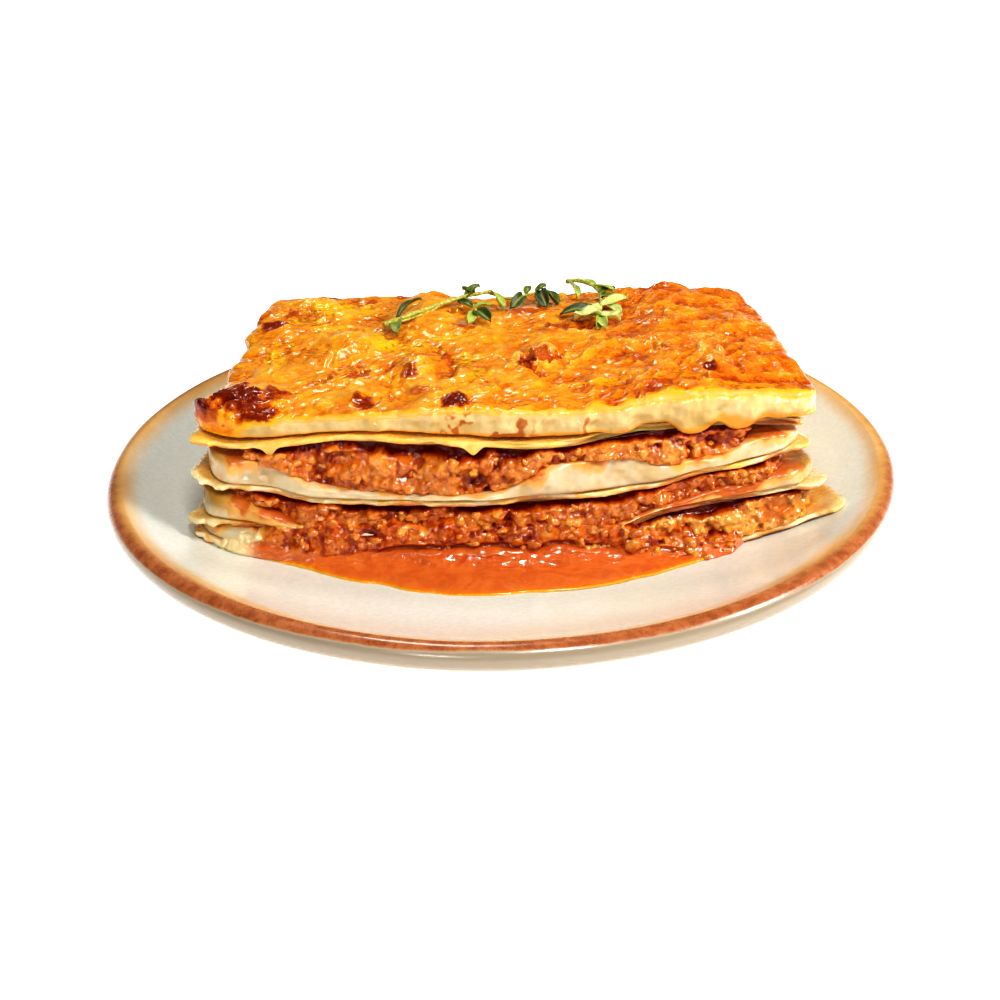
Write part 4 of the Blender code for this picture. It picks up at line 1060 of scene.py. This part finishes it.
def make_spill(finish):
    """Sauce and mince that ran down over the lower layers: a blanket on the front face. Its height
    goes evenly from the plate to SPILL_TOP. It stands out from the face by a few millimetres at the
    foot, goes in behind the face at its upper edge, and turns from mince to sauce below SPILL_SOUP.
    Crumbs lie on it."""
    columns, rows = SPILL_GRID
    wide = SPILL_RIGHT - SPILL_LEFT
    u, v = np.meshgrid(np.linspace(0, 1, columns), np.linspace(0, 1, rows))
    x = SPILL_LEFT + wide * u
    flat = spread(x)
    top = curve_through(SPILL_TOP, x) + 1.6 * solid_noise(flat, 6, 901, 3)
    ends = soft_step(np.minimum(u, 1 - u) * wide, 0, 7)
    foot = plate_top(np.hypot(x, front_edge(x, HEIGHT_LOW) - 3.0)) + 0.1
    z = foot + (np.maximum(top, foot + 1) - foot) * v
    reach = curve_through(SPILL_OUT, x) * (1 + 0.3 * solid_noise(flat, 9, 902, 2))
    soup_top = curve_through(SPILL_SOUP, x) + 0.7 * solid_noise(flat, 8, 906, 2)
    film = soft_step(soup_top - z, -0.5, 0.3) * soft_step(x, -67, -60)
    out = (0.2 + 1.3 * np.sin(math.pi * np.clip(v * 1.02, 0, 1)) ** 0.6) * ends
    out = out + reach * (1 - v) ** 2.2 * ends
    base = spread(x, front_edge(x, z) - out, z)
    wet = soft_step(solid_noise(base, 6, 903, 3) + 0.45 * soft_fall(x, 20, 34), -0.62, 0.15)
    wet = np.maximum(wet, film)
    rise, shade, crease = mince_relief(base, 910, wet)
    folds = ridges(base * np.array([0.5, 1, 1]), 2.6, 908)
    recess = np.exp(-((z - soup_top) / 0.7) ** 2) * soft_fall(np.abs(x + 2), 26, 36)
    fade = soft_step(1 - v, 0.0, 0.2) * ends * (1 - film)
    relief = (rise - 1.6) * (0.55 - 0.12 * soft_step(x, 24, 36)) * fade
    relief = relief + (0.4 * folds - 0.2) * film * ends
    points = base + spread(0, 1.4 * recess - relief, 0.2 * rise * fade)
    points[..., 1] += soft_step(v, 0.86, 1.0) * 1.6 + (1 - ends) * 1.8
    points[0, :, 2] = plate_top(np.hypot(points[0, :, 0], points[0, :, 1])) + 0.05
    back = points.copy()
    back[..., 1] = np.maximum(front_edge(x, z) + 2.6, points[..., 1] + 0.2)
    body, quads = slab(points, back)
    cream = soft_step(solid_noise(base * np.array([1, 1, 1.6]), 8, 904, 2), 0.45, 0.8) * (1 - film)
    cream = np.maximum(cream, soft_fall(np.hypot((x + 22) / 5, (z - 16) / 1.8), 0.6, 1.1))
    cream = np.maximum(cream, 0.7 * soft_fall(np.hypot((x - 16) / 13, (z - 15.5) / 1.6), 0.6, 1.1))
    # Painted shade: dark in the crevices between crumbs, and a dark line along the recess at the top of
    # the soup, where the soup colour gives way.
    dip = np.maximum(crease * (1 - 0.5 * cream) * (1 - film), 0.65 * recess) * soft_step(x, -64, -56)
    pale = (cream * (0.6 + 0.6 * solid_noise(base, 3, 907, 2)) + 1.3 * soft_step(-x, 59, 63)
            + 0.5 * soft_step(-x, 46, 54))
    fields = {"tone": shade, "crease": dip, "wet": wet, "cream": pale, "soup": film * (1 - 0.9 * recess)}
    mesh_piece("front_spill", body, quads, [], finish, None,
               {name: slab_field(values) for name, values in fields.items()})
    rng = np.random.default_rng(905)
    row = rng.integers(26, rows - 9, SPILL_CRUMBS)
    column = rng.integers(20, columns - 20, SPILL_CRUMBS)
    heap = np.clip(rng.normal(44, 6.5, HEAP_CRUMBS), 32, 58)
    row = np.concatenate([row, rng.integers(4, 26, HEAP_CRUMBS)])
    column = np.concatenate([column, ((heap - SPILL_LEFT) / wide * columns).astype(int)])
    sizes = rng.uniform(0.5, 1.0, SPILL_CRUMBS + HEAP_CRUMBS) ** 2 * 1.5 + 0.4
    places = points[row, column] + np.array([0, 0.45, 0]) * sizes[:, None]
    shown = places[:, 0] > -57
    loose_crumbs("spill_crumbs", places[shown], sizes[shown], 906, finish)


def crust_relief(x, y, burnt, yellow):
    """The crust's fine relief: lumps, wrinkles along a slant, creases along lines, blisters and
    grain. With it go how crumpled the skin is and the height of its wide wrinkles."""
    flat = spread(x, y)
    bend = spread(solid_noise(flat, 14, 703, 2), solid_noise(flat, 14, 704, 2))
    small_bend = spread(solid_noise(flat, 2.5, 713, 1), solid_noise(flat, 2.5, 714, 1))
    warped = flat + 4.0 * bend + 0.7 * small_bend
    slant = math.radians(52)
    down = warped[..., 0] * math.cos(slant) + warped[..., 1] * math.sin(slant)
    across = -warped[..., 0] * math.sin(slant) + warped[..., 1] * math.cos(slant)
    wide_folds = ridges(spread(down / 2.6, across), 4.0, 705)
    thin_folds = ridges(spread(down / 2.4, across), 1.9, 712)
    right_side = soft_step(x + 8 * solid_noise(flat, 16, 715, 2), 5, 35)
    crumpled = np.maximum(spots(x, y, CRUMPLES, 706), 0.45 * right_side)
    lump = solid_noise(warped, 8.5, 707, 3)
    grain = solid_noise(warped, 1.8, 708, 3)
    rise = 0.5 * lump + (0.16 + 0.42 * crumpled) * wide_folds + 0.2 * grain
    rise = rise + (0.1 + 0.42 * crumpled) * thin_folds * (0.7 + 0.6 * lump)
    rise = rise - 0.35 * yellow + 0.4 * burnt * (0.7 + wide_folds)
    for depth, wide, line in CREASES:
        away = line_distance(x + 0.8 * grain, y + 0.8 * lump, line)
        rise = rise + depth * np.exp(-(away / wide) ** 2)
    rng = np.random.default_rng(709)
    for _ in range(BLISTERS):
        cx, cy, r = rng.uniform(-71, 78), rng.uniform(-47, 45), rng.uniform(0.8, 2.6)
        away = np.hypot(x - cx, (y - cy) * rng.uniform(0.8, 1.3)) / r
        rise = rise + rng.uniform(0.12, 0.3) * r * np.sqrt(np.clip(1 - away ** 2, 0, 1)) ** 1.2
    ring = np.hypot((x - 11) / 6.5, (y + 16) / 6.0)
    rise = rise + 0.5 * np.sin(9 * ring + 3 * lump) * soft_fall(ring, 0.7, 1.1)
    return rise, crumpled, wide_folds


def crust_side(edge):
    """The crust's side, in rows below the points of its rim. It bulges and swells unevenly, runs
    down in drips and tucks in at its foot. With the points go each row's share of the way down and
    the small lumps, which the stains follow."""
    tangent = np.roll(edge, -9, 0) - np.roll(edge, 9, 0)
    away = spread(tangent[:, 1], -tangent[:, 0])
    away /= np.linalg.norm(away, axis=1, keepdims=True)
    x, y, z = edge.T
    foot = sheet_top(4, x, y) + 0.25
    stand = np.zeros(len(x))
    for place, reach, wide, proud in DRIPS:
        share = np.exp(-np.abs((x - place) / wide) ** 3) * near_front(y)
        foot = foot * (1 - share) + np.minimum(foot, reach) * share
        stand = stand + proud * share
    t = np.linspace(0, 1, CRUST_SIDE_ROWS + 1)[1:, None]
    drop = 1 - np.cos(t * math.pi / 2) ** 1.2
    bulge = 0.9 * np.sin(math.pi * np.clip(t * 0.9 + 0.03, 0, 1))
    tuck = -2.4 * np.clip((t - 0.86) / 0.14, 0, 1) ** 2
    side = spread(x, y, z + (foot - z) * (0.5 * t + 0.5 * drop))
    swell = solid_noise(side * np.array([1, 1, 1.3]), 7, 710, 2)
    lumps = solid_noise(side, 2.8, 716, 3)
    push = bulge * (0.75 + 1.1 * swell) + 0.35 * lumps * np.sin(math.pi * np.clip(t, 0, 1))
    push = push + stand * np.sin(math.pi * t) ** 0.7 + tuck
    return side + away[None] * push[..., None], t, lumps


def make_cheese(finish):
    """The baked cheese. Its top is a grid over the slice, whose height is the solid's plus the fine
    relief. The rim rounds over into the side, and the underside closes to its middle."""
    columns, rows = CRUST_GRID
    a, b = np.meshgrid(np.linspace(-1, 1, columns), np.linspace(-1, 1, rows))
    x = 0.5 * (CRUST_LEFT + CRUST_RIGHT) + 0.5 * (CRUST_RIGHT - CRUST_LEFT) * a
    pull = 2.6 * np.clip((np.abs(a) - 0.93) / 0.07, 0, 1) ** 2
    near = front_edge(x, HEIGHT_HIGH) + 0.4 + pull
    far = back_edge(HEIGHT_HIGH) - 0.4 - pull
    y = near + (far - near) * (b + 1) / 2
    corner = 2.0 * np.clip((np.abs(b) - 0.9) / 0.1, 0, 1) ** 2
    x = x + np.sign(a) * soft_step(np.abs(a), 0.8, 1.0) * (crust_reach(a, y) - corner)
    jag = 0.7 * solid_noise(spread(x, y), 6, 700, 3)
    out_x = soft_step(np.abs(a), 0.93, 1.0) * np.sign(a)
    out_y = soft_step(np.abs(b), 0.93, 1.0) * np.sign(b)
    x, y = x + out_x * jag, y + out_y * 0.7 * jag
    burnt = spots(x, y, BURNT_SPOTS, 701)
    yellow = spots(x, y, YELLOW_SPOTS, 702) * (1 - 0.8 * burnt)
    rise, crumpled, folds = crust_relief(x, y, burnt, yellow)
    lip = np.exp(-((x + 72) / 9) ** 2 - ((y + 38) / 9) ** 2)
    inside = np.minimum((1 - np.abs(a)) * 75, (1 - np.abs(b)) * 45)
    rim = 0.9 * np.clip(1 - inside / 2.4, 0, 1) ** 2
    z = crust_height(x, y) + rise + 1.2 * lip * (1 + 0.6 * folds) - rim * (1 - 0.6 * lip)
    top = spread(x, y, z).reshape(-1, 3)

    around = grid_edge(rows, columns)
    side, t, lumps = crust_side(top[around])
    middle = spread(SLICE_X, 0, sheet_top(4, np.array(SLICE_X), np.array(0.0)) + 0.3)
    points = np.concatenate([top, side.reshape(-1, 3), middle[None]])
    last = len(points) - 1
    ring_index = np.concatenate([around, np.arange(len(top), last)])
    side_quads = ring_index[grid_quads(len(t) + 1, len(around), closed=True)][:, [0, 3, 2, 1]]
    lowest = ring_index[-len(around):]
    fan = np.stack([np.full(len(around), last), np.roll(lowest, -1), lowest], -1)

    sx, level = side[..., 0], t + 0 * side[..., 0]
    stain = soft_step(solid_noise(side * np.array([1, 1, 0.8]), 3.2, 711, 3), 0.05, 0.65)
    stain = stain * (0.3 + 1.1 * soft_fall(np.abs(sx + 5), 6, 16)) * (0.55 + 0.6 * level)
    drip = np.exp(-((sx - 20.8 - 0.6 * lumps) / 0.7) ** 2)
    drip = drip + 0.6 * np.exp(-((sx - 8 - lumps) / 0.6) ** 2)
    stain = np.maximum(stain, 0.75 * drip * soft_step(level, 0.1, 0.4))
    left_end = soft_step(-sx, 57, 68)
    right_end = soft_step(sx, 75.5, 79) * (1 - near_front(top[around, 1]))
    side_burnt = np.clip(burnt.ravel()[around][None] * (1.15 - 1.4 * t), 0, 1)
    side_yellow = yellow.ravel()[around][None] * (1 - 0.5 * t)
    side_yellow = (side_yellow * (0.5 - 0.4 * soft_step(sx, 24, 40))
                   + 0.9 * soft_step(level, 0.66, 0.95)
                   + 0.65 * soft_step(sx, 40, 54) * soft_step(level, 0.4, 0.85))
    side_share = ((0.35 + 2.2 * t) * (1 - side_burnt) * (1 - left_end)
                  * (1 - 0.9 * right_end * (1 - t)))
    wander = 1.7 + 1.5 * solid_noise(spread(x, y), 5, 717, 3) + 1.2 * soft_step(x, 20, 60)
    top_side = 0.7 * np.clip(1 - (b + 1) * 45 / np.maximum(wander, 0.3), 0, 1) * (1 - burnt)
    top_side = top_side * soft_step(x, -70, -58)

    def joined(on_top, on_side, in_middle=0):
        return np.concatenate([np.ravel(on_top), np.ravel(on_side), [in_middle]])

    mesh_piece("baked_cheese", points, np.concatenate([grid_quads(rows, columns), side_quads]), fan,
               finish, "cheese_top", {
                   "burnt": joined(burnt, side_burnt),
                   "yellow": joined(yellow, side_yellow),
                   "rise": joined(np.clip(rise, -1.5, 1.5), 0 * stain),
                   "side": joined(top_side, np.clip(side_share, 0, 1), 1),
                   "stain": joined(0 * x, stain),
                   "crumple": joined(crumpled, 0 * stain)})


def make_pool(finish):
    """The pool of sauce: a film on the plate whose height grows as a quarter circle from its edge.
    It swells and folds where it meets the slice, and reaches a little way under it."""
    columns, rows = POOL_GRID
    u, v = np.meshgrid(np.linspace(-1, 1, columns), np.linspace(0, 1, rows))
    x = 0.5 * (POOL_LEFT + POOL_RIGHT) + 0.5 * (POOL_RIGHT - POOL_LEFT) * u
    near = curve_through(POOL_FRONT, x) + 0.5 * solid_noise(spread(x), 7, 800, 2)
    far = front_edge(x, HEIGHT_LOW) + 1.4
    y = near + (far - near) * v
    inside = np.minimum((y - near) * 0.85, (1 - np.abs(u)) * 58)
    flat = spread(x, y)
    depth = 1.5 * np.sqrt(1 - (1 - np.clip(inside / 7.0, 0, 1)) ** 2)
    depth = depth * (1 + 0.12 * solid_noise(flat, 7, 801, 3)) + 0.05
    near_face = soft_step(y - front_edge(x, HEIGHT_LOW), -7.5, 0.8)
    folds = ridges(flat * np.array([0.5, 1.3, 1]), 2.4, 803)
    middle = soft_fall(np.abs(x + 6), 30, 52)
    depth = depth + middle * (3.0 * near_face ** 1.5 + 0.3 * folds * soft_step(near_face, 0.02, 0.3))
    base = plate_top(np.hypot(x, y)) + 0.05
    body, quads = slab(spread(x, y, base + depth), spread(x, y, base - 0.02))
    mesh_piece("sauce_puddle", body, quads, [], finish, "sauce_pool",
               {"rim": slab_field(np.exp(-inside / 1.7)), "deep": slab_field(soft_step(v, 0.45, 0.95))})


def tube(path, radius):
    """A round stalk along a path that tapers by a third, closed at both ends."""
    path = np.asarray(path)
    along = np.gradient(path, axis=0)
    along /= np.linalg.norm(along, axis=1, keepdims=True)
    side = np.cross(along, [0, 0, 1])
    side /= np.linalg.norm(side, axis=1, keepdims=True)
    up = np.cross(side, along)
    turn = np.linspace(0, 2 * math.pi, STALK_SIDES, endpoint=False)
    share = np.linspace(0, 1, len(path))
    thick = radius * (1 - 0.35 * share) * (1 + 0.12 * np.sin(share * 40))
    ring = side[:, None] * np.cos(turn)[None, :, None] + up[:, None] * np.sin(turn)[None, :, None]
    rows = path[:, None] + ring * thick[:, None, None]
    rows = np.concatenate([rows[:1] * 0 + path[0], rows, rows[:1] * 0 + path[-1]])
    return capped(rows)


def smooth_path(points, parts):
    """Points on a smooth curve through the given ones."""
    points = np.array(points, float)
    steps = np.linspace(0, len(points) - 1, (len(points) - 1) * parts + 1)
    return np.stack([curve_through(list(enumerate(points[:, k])), steps) for k in range(3)], -1)


def leaf_surface(foot, tip, width, roll, seed):
    """A thyme leaf: an oval from foot to tip that arches, cups towards its midrib and waves, as an
    upper and an under face a third of a millimetre apart that nearly meet at the margin. The value
    that goes with each point is high at the midrib and at the margin."""
    foot, tip = np.array(foot, float), np.array(tip, float)
    along = tip - foot
    length = np.linalg.norm(along)
    side = np.cross(along, [0, 0, 1.0])
    side /= np.linalg.norm(side)
    up = np.cross(side, along) / length
    lean = math.radians(roll)
    side, up = side * math.cos(lean) + up * math.sin(lean), up * math.cos(lean) - side * math.sin(lean)
    s, t = np.meshgrid(np.linspace(-1, 1, LEAF_GRID[0]), np.linspace(0, 1, LEAF_GRID[1]))
    rng = np.random.default_rng(seed)
    half = 0.5 * width * (0.12 + 0.88 * np.sin(math.pi * (0.06 + 0.9 * t)) ** 0.75)
    half = half * soft_fall(t, 0.86, 1.02) + 0.02
    arch = 0.1 * length * np.sin(math.pi * t)
    arch = arch + rng.uniform(-0.05, 0.05) * length * np.sin(2 * math.pi * t)
    cup = 0.22 * width * s * s - 0.06 * width * np.exp(-(s / 0.16) ** 2)
    wave = 0.05 * width * np.sin(7 * t + 3 * s + seed)
    centre = foot + along * t[..., None] + side * (half * s)[..., None]
    thick = 0.16 * (1 - s ** 4) + 0.02
    points, quads = slab(centre + up * (arch + cup + wave + thick)[..., None],
                         centre + up * (arch + cup + wave - thick)[..., None])
    rib = np.exp(-(s / 0.14) ** 2) + 0.35 * np.exp(-((np.abs(s) - 1) / 0.15) ** 2)
    return points, quads, slab_field(rib)


def make_sprig(name, node, branches, leaves, shift, finish):
    """A sprig of thyme: its stalks and leaves in one mesh."""
    parts = []
    for radius, path in branches:
        body, quads, triangles = tube(smooth_path(path, STALK_PARTS), radius)
        parts.append((body, quads, triangles, 0.5, np.zeros(len(body)), 1))
    for number, (foot, tip, width, pale, roll) in enumerate(leaves, 1):
        body, quads, rib = leaf_surface(foot, tip, LEAF_WIDER * width, roll, number)
        parts.append((body, quads, np.zeros((0, 3), int), pale, rib, 0))
    bodies, quads, triangles, pale, rib, stem = zip(*parts)
    sizes = [len(body) for body in bodies]
    starts = np.cumsum(sizes) - sizes
    mesh_piece(name, np.concatenate(bodies) + np.array([0, 0, shift]),
               np.concatenate([faces + start for faces, start in zip(quads, starts)]),
               np.concatenate([faces + start for faces, start in zip(triangles, starts)]),
               finish, node, {"pale": np.repeat(pale, sizes), "rib": np.concatenate(rib),
                                       "stem": np.repeat(stem, sizes)})


def make_floor():
    """A plain pale floor that glows a little and runs out of sight."""
    f = Finish("pale_floor", Roughness=0.7, Base_Color=(0.85, 0.85, 0.85, 1),
               Emission_Color=(1, 1, 1, 1), Emission_Strength=FLOOR_GLOW)
    corners = FLOOR_REACH * np.array([(-1, -1, 0), (1, -1, 0), (1, 1, 0), (-1, 1, 0)])
    floor = mesh_piece("floor", corners, [[0, 1, 2, 3]], [], f.material, None, rides=False)


def area_light(name, place, aim, size, power, colour):
    """A square studio softbox, in metres and watts."""
    light = bpy.data.lights.new(name, "AREA")
    light.size, light.energy, light.color = size, power, colour
    lamp = bpy.data.objects.new(name, light)
    lamp.location = place
    lamp.rotation_euler = (Vector(aim) - Vector(place)).to_track_quat("-Z", "Y").to_euler()
    bpy.context.scene.collection.objects.link(lamp)


def set_camera():
    """The photograph's view, from CAMERA_AWAY metres along a line CAMERA_DOWN degrees down."""
    down, roll = math.radians(CAMERA_DOWN), math.radians(CAMERA_TURN)
    aim = Vector(CAMERA_AIM)
    place = aim + CAMERA_AWAY * Vector((0, -math.cos(down), math.sin(down)))
    ahead = (aim - place).normalized()
    right = ahead.cross(Vector((0, 0, 1))).normalized()
    up = right.cross(ahead)
    right, up = (right * math.cos(roll) + up * math.sin(roll),
                 up * math.cos(roll) - right * math.sin(roll))
    camera = bpy.data.cameras.new("camera")
    camera.sensor_width, camera.lens = CAMERA_SENSOR, CAMERA_LENS
    camera.clip_start, camera.clip_end = 0.01, 150.0
    holder = bpy.data.objects.new("camera", camera)
    turn = Matrix((right, up, -ahead)).transposed().to_4x4()
    turn.translation = place
    holder.matrix_world = turn
    bpy.context.scene.collection.objects.link(holder)
    bpy.context.scene.camera = holder


def set_light():
    """A bright white studio: a soft key from the right, a softbox behind for gloss, two in front,
    and a sky that is pale at the horizon and dim above."""
    world = bpy.data.worlds.new("studio")
    world.use_nodes = True
    tree = world.node_tree
    place = tree.nodes.new("ShaderNodeTexCoord")
    height = tree.nodes.new("ShaderNodeSeparateXYZ")
    fade = tree.nodes.new("ShaderNodeValToRGB")
    for stop, (share, grey) in zip(fade.color_ramp.elements, SKY):
        stop.position, stop.color = share, (grey, grey, grey, 1)
    fade.color_ramp.interpolation = "EASE"
    tree.links.new(place.outputs["Generated"], height.inputs[0])
    tree.links.new(height.outputs["Z"], fade.inputs[0])
    tree.links.new(fade.outputs[0], tree.nodes["Background"].inputs["Color"])
    bpy.context.scene.world = world
    for light in LIGHTS:
        area_light(*light)
    view = bpy.context.scene.view_settings
    view.view_transform = "Standard"
    view.look = "High Contrast"


def main():
    """Builds every piece, and the camera and the light round them."""
    sauce, pasta, white = sauce_finish(), pasta_finish(), white_sauce_finish()
    meats = (meat_finish("mince_light", -0.22), meat_finish("mince_dark", 0.1),
             meat_finish("mince_red", 0.02))
    make_floor()
    make_plate(plate_finish())
    make_pool(sauce)
    for number in (1, 2, 3, 4):
        make_sheet(number, pasta)
    for number in (1, 2, 3):
        make_white_sauce(number, white)
    for number, meat in enumerate(meats, 1):
        make_meat(number, meat)
    make_spill(meats[1])
    make_cheese(crust_finish())
    thyme = thyme_finish()
    make_sprig("thyme_long", "thyme_sprig_long", LONG_BRANCHES, LONG_LEAVES, 0.0, thyme)
    make_sprig("thyme_tip", "thyme_sprig_tip", TIP_BRANCHES, TIP_LEAVES, 0.3, thyme)
    set_camera()
    set_light()


main()
